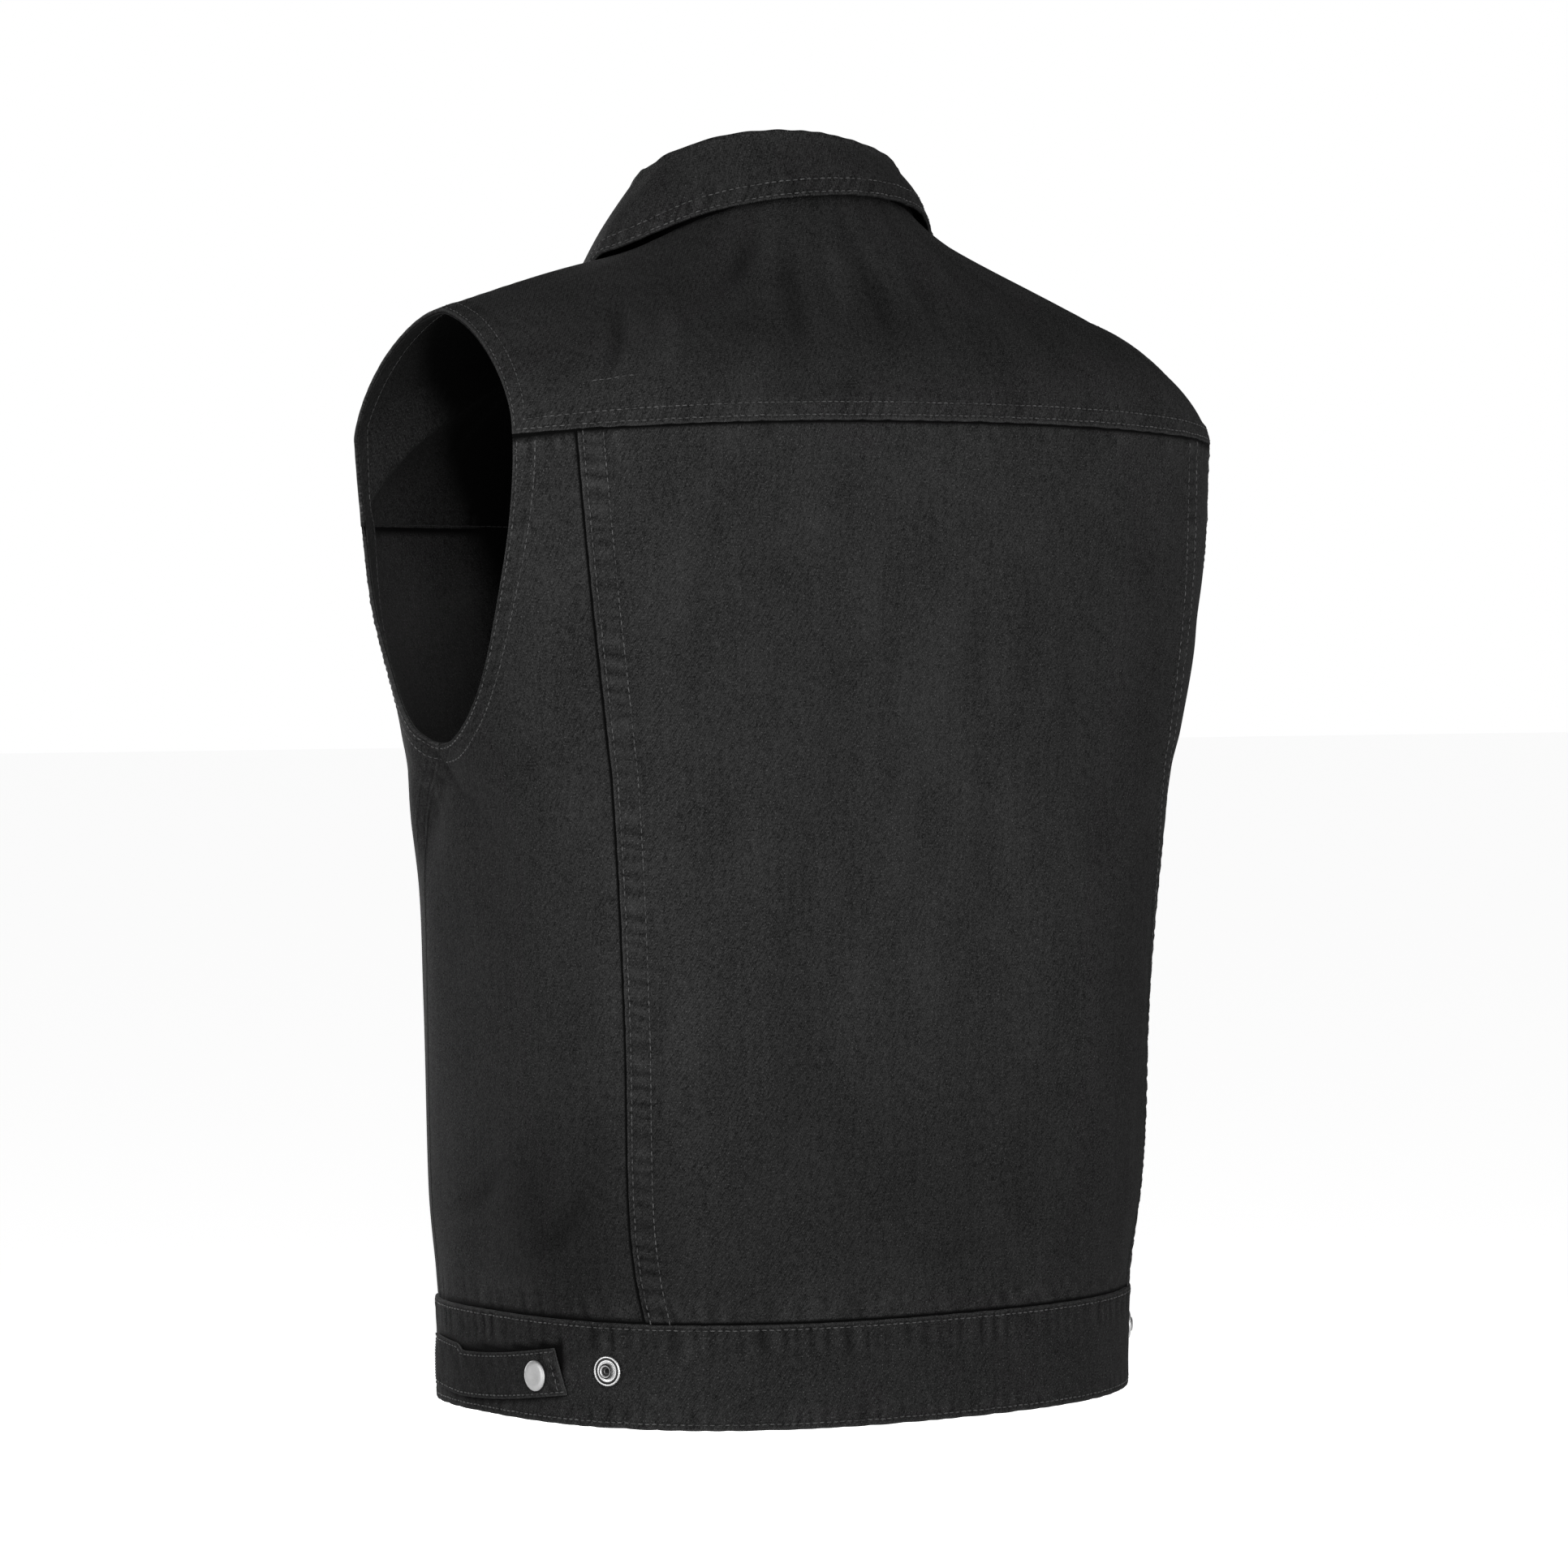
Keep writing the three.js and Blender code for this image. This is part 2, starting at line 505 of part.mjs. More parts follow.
// Waistband: one piece round the back and one on each side of the front, the left end over the right.
const BAND_ROWS = [0, 2.2, 26, 50.6, BAND.height];
const bandRaise = (b) => BAND.proud - 0.8 * (1 - smooth(Math.min(b, 1 - b) * BAND.height, 0, 2.2));
const bandSurface = (from, to) => (hand) => (a, b) => {
  const height = b * BAND.height;
  return bodyPoint(hand * mix(from(height), to(height), a), height);
};
const bandDown = () => BAND_ROWS.map((height) => height / BAND.height);
const bandOptions = { thickness: BAND.thickness - BAND.proud, raise: (a, b) => bandRaise(b) };
const backEnd = (height) => sideTurn(height) - gapTurn(sideTurn(height), height);
const frontEnd = (height) => sideTurn(height) + gapTurn(sideTurn(height), height);
const CLOSING = Math.atan2(PLACKET.halfWidth, SECTIONS[0].frontDepth);
add("waistband_back", wall(bandSurface((h) => -backEnd(h), backEnd)(1), span(56), bandDown, bandOptions));
const frontBand = bandSurface(frontEnd, () => Math.PI + CLOSING);
add("waistband_front_left", wall(frontBand(1), span(22), bandDown, bandOptions));
const UNDER_FROM = 0.62; // share of the right end's length where it starts to dip under the left end
const UNDER_TO = 0.8;
add("waistband_front_right", wall(frontBand(-1), span(22), bandDown, {
  ...bandOptions,
  sink: (a) => (BAND.thickness + SEAM_GAP) * smooth(a, UNDER_FROM, UNDER_TO),
}));

// Armhole facings: a turned strip inside the whole round of each armhole, parallel to the facets
// of the cloth that it lines
const FACING_SHARES = [0, 0.5, 1];
function faceted(curve, stations) {
  return (share) => {
    const next = Math.max(1, stations.findIndex((s) => s >= share - 1e-9));
    const [low, high] = [stations[next - 1], stations[next]];
    return curve(low).lerp(curve(high), (share - low) / (high - low));
  };
}

function facingStations(hand) {
  const stations = [];
  const normalOf = (surface, a, b) => normalAt(surface, a, b).multiplyScalar(outwardSign(surface));
  const alongPanel = (surface, columns, shares) => shares.forEach((b) => {
    const width = FACING.width / surface(0, b).distanceTo(surface(1, b));
    const row = faceted((a) => surface(a, b), columns);
    stations.push((t) => [row(1 - t * width), normalOf(surface, 1 - t * width, b)]);
  });
  const alongYoke = (surface, shares) => shares.forEach((a) => {
    const width = FACING.width / yokeLength(surface, a);
    const row = faceted((b) => surface(a, b), yokeDown(surface)(a));
    stations.push((t) => [row(t * width), normalOf(surface, a, t * width)]);
  });
  const panelShares = PANEL_ROWS.filter((b) => b >= UNDERARM_SHARE);
  alongPanel(backSideSurface(hand), span(8), panelShares.slice(1));
  alongYoke(backYokeSurface, backColumns.filter((a) => hand * (1 - 2 * a) >= CORNER_SHARE - 1e-9)
    .sort((p, q) => hand * (q - p)));
  alongYoke(frontYokeSurface(hand), frontColumns.filter((a) => mix(FRONT_START, 1, a) >= CORNER_SHARE - 1e-9
    && a < 1).reverse());
  alongPanel(frontPanelSurface(hand), span(11), panelShares.reverse());
  return stations;
}

function facing(hand) {
  const grid = facingStations(hand).map((station) => FACING_SHARES.map((t) => {
    const [point, normal] = station(t);
    const depth = CLOTH + mix(0.85, 1.9, t);
    const place = (inwards) => point.clone().addScaledVector(normal, -inwards);
    return { outer: place(depth), inner: place(depth + FACING.thickness) };
  }));
  return wallFromGrid(grid, true);
}
add("armhole_facing_left", facing(1));
add("armhole_facing_right", facing(-1));

// Collar: one folded piece, with a stand that rises from the neckline and a leaf that falls from the fold
const LEAF = { halfWidth: 91, reach: 89, y: -25, height: 603.5, rise: 27.5 };
const FOLD = {
  halfWidth: 73, y: -20, backDepth: 66, frontDepth: 69, height: 641.5, rise: 21.5, drop: 88, tilt: 5,
};
// On the shoulders and the front the leaf lies on the yokes, this far from the neckline and above them.
const LEAF_REST = {
  from: rad(48), to: rad(96), reach: 15, shoulderReach: 26, pointShare: 0.3, pointReach: 62, away: 3,
};

function foldPoint(theta, side) {
  const c = Math.cos(theta);
  const front = c < 0;
  return vec(FOLD.halfWidth * Math.sin(theta), FOLD.y + (front ? FOLD.frontDepth : FOLD.backDepth) * c,
    FOLD.height + (front ? -FOLD.drop * c * c : FOLD.rise * c)
      + side * FOLD.tilt * Math.sin(theta) * (1 + c));
}

function leafOnYoke(theta, end) {
  const front = theta > Math.PI / 2;
  const side = front ? "front" : "back";
  const t = front ? (theta - Math.PI / 2) / (end - Math.PI / 2)
    : (theta - LEAF_REST.from) / (Math.PI / 2 - LEAF_REST.from);
  const share = front ? mix(1, LEAF_REST.pointShare, t) : theta / (Math.PI / 2);
  const reach = front ? mix(LEAF_REST.shoulderReach, LEAF_REST.pointReach, t ** 1.2)
    : mix(LEAF_REST.reach, LEAF_REST.shoulderReach, Math.max(0, t));
  const surface = (x, y) => fanCurve(side, Math.min(x, 1)).getPoint(y);
  const b = 1 - reach / fanCurve(side, share).getLength();
  const normal = normalAt(surface, share, b);
  if (normal.z < 0) normal.negate();
  return surface(share, b).addScaledVector(normal, LEAF_REST.away);
}

function leafPoint(theta, end) {
  const c = Math.cos(theta);
  const free = vec(LEAF.halfWidth * Math.sin(theta), LEAF.y + LEAF.reach * c, LEAF.height + LEAF.rise * c);
  const rest = smooth(theta, LEAF_REST.from, LEAF_REST.to);
  return rest > 0 ? free.lerp(leafOnYoke(theta, end), rest) : free;
}

function collarSection(theta, end, side) {
  const beta = theta <= Math.PI / 2 ? theta : Math.PI - theta;
  const base = neckPoint(theta <= Math.PI / 2 ? "back" : "front", beta / (Math.PI / 2));
  base.z += COLLAR.lift;
  const fold = foldPoint(theta, side);
  const leaf = leafPoint(theta, end);
  const out = leaf.clone().sub(base).setZ(0).normalize();
  const near = (away, down) => fold.clone().addScaledVector(out, away).setZ(fold.z - down);
  const inside = near(-COLLAR.fold, 4);
  const outside = near(COLLAR.fold, 4);
  const bulge = (p, q, push) => p.clone().lerp(q, 0.5).addScaledVector(out, push);
  return [base, bulge(base, inside, 0.5), inside, near(-COLLAR.fold * 0.6, 0.9), near(COLLAR.fold * 0.6, 0.9),
    outside, bulge(outside, leaf, 2.5), leaf];
}

function collar() {
  const end = Math.PI - Math.asin(COLLAR.endGap / NECK.halfWidth);
  const grid = span(40).map((t) => {
    const theta = Math.abs(1 - 2 * t) * end;
    const line = collarSection(theta, end, t > 0.5 ? -1 : 1);
    if (t > 0.5) line.forEach((p) => p.setX(-p.x));
    return line;
  });
  return wallFromGrid(grid.map((line, i) => line.map((p, j) => {
    const along = grid[Math.min(i + 1, grid.length - 1)][j].clone().sub(grid[Math.max(i - 1, 0)][j]);
    const across = line[Math.min(j + 1, line.length - 1)].clone().sub(line[Math.max(j - 1, 0)]);
    const normal = across.cross(along).normalize().multiplyScalar(COLLAR.thickness / 2);
    return { outer: p.clone().add(normal), inner: p.clone().sub(normal) };
  })));
}
add("collar", collar());

// Adjuster tabs on the band, caught in the side seam at one end
const tabSurface = (hand) => (a, b) => {
  const turn = mix(rad(mix(TAB.freeBottom, TAB.freeTop, b)), rad(TAB.fixed), a);
  const low = TAB.low(a);
  const tall = mix(TAB.freeHeight, TAB.fixedHeight, smooth(a, TAB.stepFrom, TAB.stepTo));
  return bodyPoint(hand * turn, mix(low, low + tall, b));
};
const tabColumns = span(16);
const tabDown = () => span(2);
addPair("adjuster_tab", tabSurface, tabColumns, tabDown, {
  thickness: -BAND.proud - TAB.lift,
  raise: () => BAND.proud + TAB.lift + TAB.thickness,
});

// Snaps: turned parts set square on the cloth
function turned(profile, point, normal) {
  const points = profile.map(([radius, height]) => new THREE.Vector2(radius, height));
  const geometry = new THREE.LatheGeometry(points, 28);
  const turn = new THREE.Quaternion().setFromUnitVectors(vec(0, 1, 0), normal);
  return geometry.applyQuaternion(turn).translate(point.x, point.y, point.z);
}
const CAP_PROFILE = [[0, 0], [7, 0], [7.8, 0.5], [7.9, 1.1], [7.4, 1.7], [6.2, 2.2], [4, 2.1], [0, 1.9]];
const STUD_PROFILE = [[0, 0], [7, 0], [7.9, 0.5], [7.9, 1.4], [7.1, 1.9], [5.6, 1.5], [4.2, 1.6], [3.9, 3.1],
  [3.1, 3.4], [2.2, 3.2], [1.9, 1.4], [0, 1.2]];
const CAP_GAP = 0.35;

function snap(name, profile, turn, height, away) {
  const surface = (a, b) => bodyPoint(turn - 0.05 + 0.1 * a, height - 5 + 10 * b);
  const normal = normalAt(surface, 0.5, 0.5).multiplyScalar(outwardSign(surface));
  const seat = bodyPoint(turn, height).addScaledVector(normal, away + CAP_GAP);
  for (const [side, sign] of [["left", 1], ["right", -1]]) {
    const flip = vec(sign, 1, 1);
    const shape = turned(profile, seat.clone().multiply(flip), normal.clone().multiply(flip));
    add(name + "_" + side, shape, metal());
  }
}
snap("tab_cap", CAP_PROFILE, rad(TAB.capTurn), TAB.capHeight, BAND.proud + TAB.lift + TAB.thickness);
snap("band_stud", STUD_PROFILE, rad(STUD.turn), STUD.height, BAND.proud);

const FRONT_SNAPS = [114, 209, 304, 399, 494];
function shareAtHeight(heightOf, height) {
  let [low, high] = [0, 1];
  for (let i = 0; i < 30; i++) {
    const middle = (low + high) / 2;
    if (heightOf(middle) < height) low = middle;
    else high = middle;
  }
  return low;
}
FRONT_SNAPS.forEach((height, index) => {
  const share = shareAtHeight((b) => placketSurface(0.5, b).z, height);
  const normal = normalAt(placketSurface, 0.5, share).multiplyScalar(outwardSign(placketSurface));
  const seat = placketSurface(0.5, share).addScaledVector(normal, CAP_GAP);
  add("front_cap_" + (index + 1), turned(CAP_PROFILE, seat, normal), metal());
});
const bandSeat = bodyPoint(Math.PI, BAND.height / 2);
bandSeat.y -= BAND.proud + CAP_GAP;
add("front_cap_" + (FRONT_SNAPS.length + 1), turned(CAP_PROFILE, bandSeat, vec(0, -1, 0)), metal());

export default vest;
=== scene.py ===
# The look of a sleeveless black denim vest: thin cloth with its seams, stitches and creases,
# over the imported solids. Sizes are in millimetres above the hem until a mesh is made.
import math

import bpy
import numpy as np
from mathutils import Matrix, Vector
from mathutils.kdtree import KDTree


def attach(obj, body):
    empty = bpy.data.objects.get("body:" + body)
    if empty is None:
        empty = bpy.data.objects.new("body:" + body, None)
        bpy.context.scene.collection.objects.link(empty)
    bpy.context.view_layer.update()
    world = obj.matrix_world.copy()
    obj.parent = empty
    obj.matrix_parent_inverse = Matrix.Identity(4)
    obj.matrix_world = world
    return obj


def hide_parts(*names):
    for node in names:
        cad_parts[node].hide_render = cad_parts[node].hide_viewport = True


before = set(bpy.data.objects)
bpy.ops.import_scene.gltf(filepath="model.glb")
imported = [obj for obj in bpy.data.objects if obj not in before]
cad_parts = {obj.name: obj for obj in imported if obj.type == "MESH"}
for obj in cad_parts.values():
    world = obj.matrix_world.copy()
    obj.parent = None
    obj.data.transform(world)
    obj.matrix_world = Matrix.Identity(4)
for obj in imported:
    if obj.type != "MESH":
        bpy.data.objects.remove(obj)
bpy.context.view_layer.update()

# Sizes shared with the solids
HELD_HEIGHT = 590
CLOTH = 1.6
SEAM_GAP = -0.3  # sewn edges overlap a little, so that no light comes through a seam
LAP = 0.9
LAP_WIDTH = 11.5
LAP_FADE = 2.5
BAND_HEIGHT = 53
BAND_THICKNESS = 2.8
BAND_PROUD = 1.7
PLACKET_HALF_WIDTH = 18
PLACKET_THICKNESS = 2.2
FACING_WIDTH = 15
COLLAR_THICKNESS = 2.0
COLLAR_END_GAP = 3
COLLAR_SINK = 1.0
COLLAR_FOLD = 2.4
TAB_THICKNESS = 2.2
TAB_FREE_TOP = 73.7
TAB_FREE_BOTTOM = 70.9
TAB_FIXED = 112.6
TAB_FREE_HEIGHT = 23.6
TAB_FIXED_HEIGHT = 26.6
TAB_STEP_FROM = 0.68
TAB_STEP_TO = 0.73
TAB_CAP_TURN = 77.4
TAB_CAP_HEIGHT = 23.6
STUD_TURN = 63
STUD_HEIGHT = 29
TAB_LIFT = 0.2


def table(names, *rows):
    return dict(zip(names.split(), np.array(rows, float).T))


SECTIONS = table(
    "height half_width back_depth back_power front_depth front_power",
    (0, 178, 155, 2.5, 140, 2.9),
    (55, 179, 155, 2.55, 140, 2.9),
    (110, 182.5, 154, 2.85, 140, 3.1),
    (206, 186, 151, 3.1, 136, 3.2),
    (270, 193.5, 148, 3.1, 136, 2.9),
    (330, 207, 144, 3.0, 137, 2.6),
    (350, 214, 143, 3.0, 138, 2.5),
    (412, 229, 142, 3.0, 139, 2.5),
    (458, 235, 140, 3.0, 134, 2.7),
    (512, 240, 136, 3.0, 121, 3.2),
)
HEM_SLOPE = 0.014
HEM_BOW = 1.1
HEM_HALF_WIDTH = 178
HEM_FADE = 260
FOLDS = table(
    "turn height turn_spread height_spread slant push",
    (97, 318, 4.5, 26, -0.22, -4.5),
    (104, 316, 5, 28, -0.2, 2),
    (84, 300, 5, 42, 0.1, -2.2),
    (-86, 330, 5, 30, -0.12, -3.8),
    (-99, 300, 6, 40, 0.16, 3.2),
    (-72, 425, 5, 22, -0.2, -2.6),
    (66, 180, 8, 110, 0, -1.6),
    (-66, 210, 9, 120, 0, -1.4),
    (22, 250, 7, 130, 0.02, -1.5),
    (-14, 200, 8, 120, -0.02, -1.3),
    (-38, 300, 7, 120, 0.02, -1.6),
    (140, 240, 9, 110, -0.03, -2.4),
    (-142, 230, 9, 120, 0.03, -2.4),
    (117, 352, 11, 42, -0.1, -5),
    (-74, 330, 14, 90, 0, 2.6),
    (-122, 320, 9, 60, 0.1, 2.4),
)
ARMHOLE_Y = -5.5
ARMHOLE_HEIGHT = 503
ARMHOLE_BELOW = 157.6
ARMHOLE_ABOVE = 66
ARMHOLE_BEHIND = 88
ARMHOLE_BEFORE = 75
LOWER_BACK = 2
LOWER_FRONT = 1.9
UPPER_BACK = 1.45
UPPER_FRONT = 1.75
TIP_X = 208
NECK_HALF_WIDTH = 80
NECK_Y = -13
NECK_HEIGHT = 603
NECK_DEPTH = {"back": 69, "front": 73}
NECK_RISE = {"back": 30, "front": -66}
FORWARD = {"back": 1, "front": -1}
YOKE_SEAM = 512
FRONT_SEAM = 458
CORNER_SHARE = 0.68
PRINCESS = table("height turn", (53, 56.4), (75, 57.6), (110, 58.2), (206, 58.2), (330, 58.9),
                 (412, 59.9), (512, 61.9))
SIDE_SEAM = table("height turn", (0, 113.8), (120, 113), (220, 110.5), (300, 103), (345.4, 91.5))


# Helpers for curves
def mix(p, q, t):
    return p + (q - p) * t


def smooth(x, low, high):
    t = np.clip((x - low) / (high - low), 0, 1)
    return t * t * (3 - 2 * t)


def unit(v):
    return v / np.maximum(np.linalg.norm(v, axis=-1, keepdims=True), 1e-12)


def vec(x, y, z):
    return np.stack(np.broadcast_arrays(x, y, z), -1).astype(float)


def interpolate(at, s, line):
    return np.stack([np.interp(at, s, line[:, k]) for k in range(3)], -1)


def distances(line):
    return np.insert(np.cumsum(np.linalg.norm(np.diff(line, axis=0), axis=1)), 0, 0)


def column(rows, name, height):
    """One column of a table at a height, as a smooth curve through its rows."""
    levels = rows["height"]
    values = rows[name]
    ahead = np.append(np.arange(1, len(levels)), len(levels) - 1)
    behind = np.insert(np.arange(len(levels) - 1), 0, 0)
    slopes = (values[ahead] - values[behind]) / (levels[ahead] - levels[behind])
    i = np.clip(np.searchsorted(levels, height) - 1, 0, len(levels) - 2)
    step = levels[i + 1] - levels[i]
    t = np.clip((height - levels[i]) / step, 0, 1)
    rise = (2 * t**3 - 3 * t**2 + 1) * values[i] + (3 * t**2 - 2 * t**3) * values[i + 1]
    return rise + step * ((t**3 - 2 * t**2 + t) * slopes[i] + (t**3 - t**2) * slopes[i + 1])


# The body's surface at a turn from the centre back and a height
def fold_push(turn, height):
    degrees = np.degrees(turn)
    total = 0
    for middle, level, turn_spread, height_spread, slant, push in zip(*FOLDS.values()):
        rise = height - level
        across = (degrees - middle - slant * rise) / turn_spread
        total = total + push * np.exp(-across**2 - (rise / height_spread) ** 2)
    return total


def section_column(name, front, height):
    before, behind = (column(SECTIONS, side + name, height) for side in ("front_", "back_"))
    return np.where(front, before, behind)


def body_point(turn, height):
    turn, height = np.broadcast_arrays(np.asarray(turn, float), np.asarray(height, float))
    front = np.cos(turn) < 0
    power = section_column("power", front, height)
    across = np.abs(np.sin(turn)) / column(SECTIONS, "half_width", height)
    along = np.abs(np.cos(turn)) / section_column("depth", front, height)
    radius = (across**power + along**power) ** (-1 / power)
    reach = radius + smooth(height, 20, 90) * fold_push(turn, height)
    return vec(reach * np.sin(turn), reach * np.cos(turn), height)


def armhole_yz(turn):
    """The armhole's edge from the side, as two half superellipses behind and two before."""
    along = np.sin(2 * np.pi * turn)
    up = -np.cos(2 * np.pi * turn)
    behind = along >= 0
    lower = up < 0
    power = np.where(lower, np.where(behind, LOWER_BACK, LOWER_FRONT),
                     np.where(behind, UPPER_BACK, UPPER_FRONT))
    y = np.where(behind, ARMHOLE_BEHIND, -ARMHOLE_BEFORE) * np.abs(along) ** (2 / power)
    z = np.where(lower, -ARMHOLE_BELOW, ARMHOLE_ABOVE) * np.abs(up) ** (2 / power)
    return ARMHOLE_Y + y, ARMHOLE_HEIGHT + z


def turn_at(y, height):
    front = np.asarray(y) < 0
    power = section_column("power", front, height)
    depth = section_column("depth", front, height)
    x = column(SECTIONS, "half_width", height) * (1 - (np.abs(y) / depth) ** power) ** (1 / power)
    return np.arctan2(x, y)


def armhole_edge(turn):
    y, height = armhole_yz(turn)
    low = body_point(turn_at(y, np.minimum(height, ARMHOLE_HEIGHT)), np.minimum(height, ARMHOLE_HEIGHT))
    widest = np.where(turn < 0.5, armhole_yz(0.25)[0], armhole_yz(0.75)[0])
    root = body_point(turn_at(widest, ARMHOLE_HEIGHT), ARMHOLE_HEIGHT)[..., 0]
    climb = np.clip((height - ARMHOLE_HEIGHT) / ARMHOLE_ABOVE, 0, 1)
    high = vec(mix(root, TIP_X, climb**1.15), y, height)
    return np.where((height <= ARMHOLE_HEIGHT)[..., None], low, high)


def armhole_turn(height, power):
    drop = (ARMHOLE_HEIGHT - height) / ARMHOLE_BELOW
    return math.acos(max(drop, 0) ** (power / 2)) / (2 * math.pi)


CORNER = armhole_turn(FRONT_SEAM, LOWER_FRONT)
BACK_CORNER_TURN = float(turn_at(armhole_yz(0.25)[0], ARMHOLE_HEIGHT))
FRONT_CORNER_TURN = float(turn_at(*armhole_yz(1 - CORNER)))


def back_seam_height(turn):
    droop = YOKE_SEAM - ARMHOLE_HEIGHT
    return YOKE_SEAM - droop * np.minimum(1, np.abs(turn) / BACK_CORNER_TURN) ** 3


def neck_point(side, share):
    beta = share * np.pi / 2
    forward = FORWARD[side]
    return vec(NECK_HALF_WIDTH * np.sin(beta), NECK_Y + forward * NECK_DEPTH[side] * np.cos(beta),
               NECK_HEIGHT + NECK_RISE[side] * np.cos(beta))


# The yokes are fans of curves that run from the seam and the armhole up to the neckline
CENTRE_OUT = {"back": 0.5, "front": 0.66}
CENTRE_DOWN = {"back": 0.87, "front": 0.75}
LEAN = {"back": 0.16, "front": 0.2}
CORNER_LEAN = {"back": 0.08, "front": 0}
FULLER = {"back": 10.5, "front": 0}
FULL_FROM = 0.4
FULL_PEAK = 0.76
CORNER_TURN = {"back": BACK_CORNER_TURN, "front": FRONT_CORNER_TURN}
CORNER_HEIGHT = {"back": ARMHOLE_HEIGHT, "front": FRONT_SEAM}
SHOULDER_START = np.array([-0.93, 0, 0.34])
SHOULDER_OUT = 0.985
SHOULDER_DOWN = 0.17
REACH_START = 0.3
REACH_END = 0.36


def start_way(side, share, start):
    forward = FORWARD[side]
    corner = CORNER_TURN[side]
    height = CORNER_HEIGHT[side]
    along_seam = unit(body_point(corner - 0.05 * forward, height) - body_point(corner, height))
    near = np.minimum(1, share / CORNER_SHARE)[..., None]
    flat = unit(start * np.array([1, 1, 0]))
    way = np.array([0, 0, 1]) - flat * mix(LEAN[side], CORNER_LEAN[side], near**2)
    way = unit(way + along_seam * 0.8 * near**4)
    left = np.clip((1 - share) / (1 - CORNER_SHARE), 0, 1)[..., None]
    return unit(mix(way, SHOULDER_START, 1 - left**2))


def fan_start(side, share):
    climb = np.clip((share - CORNER_SHARE) / (1 - CORNER_SHARE), 0, 1)
    edge = armhole_edge(mix(0.25 if side == "back" else 1 - CORNER, 0.5, climb))
    along = np.minimum(1, share / CORNER_SHARE)
    if side == "back":
        seam = body_point(along * BACK_CORNER_TURN, back_seam_height(along * BACK_CORNER_TURN))
    else:
        seam = body_point(mix(np.pi, FRONT_CORNER_TURN, along), FRONT_SEAM)
    return np.where((share > CORNER_SHARE)[..., None], edge, seam)


def fan_ends(side, share, neck_share):
    start = fan_start(side, share)
    end = neck_point(side, neck_share)
    forward = FORWARD[side]
    beta = neck_share * np.pi / 2
    out = mix(CENTRE_OUT[side], SHOULDER_OUT, neck_share**2)
    down = mix(CENTRE_DOWN[side], SHOULDER_DOWN, neck_share**2)
    end_way = unit(vec(out * np.sin(beta), forward * out * np.cos(beta), -down))
    length = np.linalg.norm(end - start, axis=-1, keepdims=True)
    after_start = start + start_way(side, share, start) * length * REACH_START
    before_end = end + end_way * length * REACH_END
    fullness = FULLER[side] * smooth(share, FULL_FROM, FULL_PEAK)
    before_end[..., 2] += fullness * (1 - smooth(share, FULL_PEAK, 1))
    return start, after_start, before_end, end


def fan_point(side, share, neck_share, b):
    share, neck_share, b = np.broadcast_arrays(*(np.asarray(v, float) for v in (share, neck_share, b)))
    p, q, r, s = fan_ends(side, share, neck_share)
    t = b[..., None]
    return (1 - t) ** 3 * p + 3 * t * (1 - t) ** 2 * q + 3 * t**2 * (1 - t) * r + t**3 * s


# Surfaces of the pieces, by a share across and a share up
def normal_at(surface, a, b):
    h = 1e-3
    da = surface(np.minimum(a + h, 1), b) - surface(np.maximum(a - h, 0), b)
    db = surface(a, np.minimum(b + h, 1)) - surface(a, np.maximum(b - h, 0))
    return face_out(np.cross(da, db), surface(a, b))


def face_out(normals, points):
    middle = tuple(n // 2 for n in points.shape[:-1])
    p = points[middle]
    inside = np.array([0, -10, min(p[2], 480)])
    return unit(normals) * np.sign(np.dot(normals[middle], p - inside))


PANEL_FOOT = BAND_HEIGHT + SEAM_GAP
UNDERARM_SHARE = 0.56
UNDERARM_HEIGHT = ARMHOLE_HEIGHT - ARMHOLE_BELOW
UNDERARM_LEVEL = 322


def climb_of(b):
    return np.where(b > UNDERARM_SHARE, (b - UNDERARM_SHARE) / (1 - UNDERARM_SHARE), b / UNDERARM_SHARE)


def row_height(b, top):
    return np.where(b > UNDERARM_SHARE, mix(UNDERARM_LEVEL, top, climb_of(b)),
                    mix(PANEL_FOOT, UNDERARM_LEVEL, climb_of(b)))


def share_of_height(height, top):
    low = (height - PANEL_FOOT) / (UNDERARM_LEVEL - PANEL_FOOT) * UNDERARM_SHARE
    high = mix(UNDERARM_SHARE, 1, (height - UNDERARM_LEVEL) / (top - UNDERARM_LEVEL))
    return np.where(height > UNDERARM_LEVEL, high, low)


def gap_turn(turn, height):
    point = body_point(turn, height)
    return SEAM_GAP / 2 / np.hypot(point[..., 0], point[..., 1])


def princess_turn(height):
    return np.radians(column(PRINCESS, "turn", height))


def side_turn(height):
    return np.radians(column(SIDE_SEAM, "turn", height))


PRINCESS_TOP = float(back_seam_height(princess_turn(YOKE_SEAM))) - SEAM_GAP
FRONT_TOP = FRONT_SEAM - SEAM_GAP
FRONT_EDGE_X = PLACKET_HALF_WIDTH + SEAM_GAP


def back_centre(a, b):
    height = row_height(b, PRINCESS_TOP)
    reach = princess_turn(height) - gap_turn(princess_turn(height), height)
    turn = (1 - 2 * a) * reach
    share = (height - PANEL_FOOT) / (PRINCESS_TOP - PANEL_FOOT)
    return body_point(turn, mix(PANEL_FOOT, back_seam_height(turn) - SEAM_GAP, share))


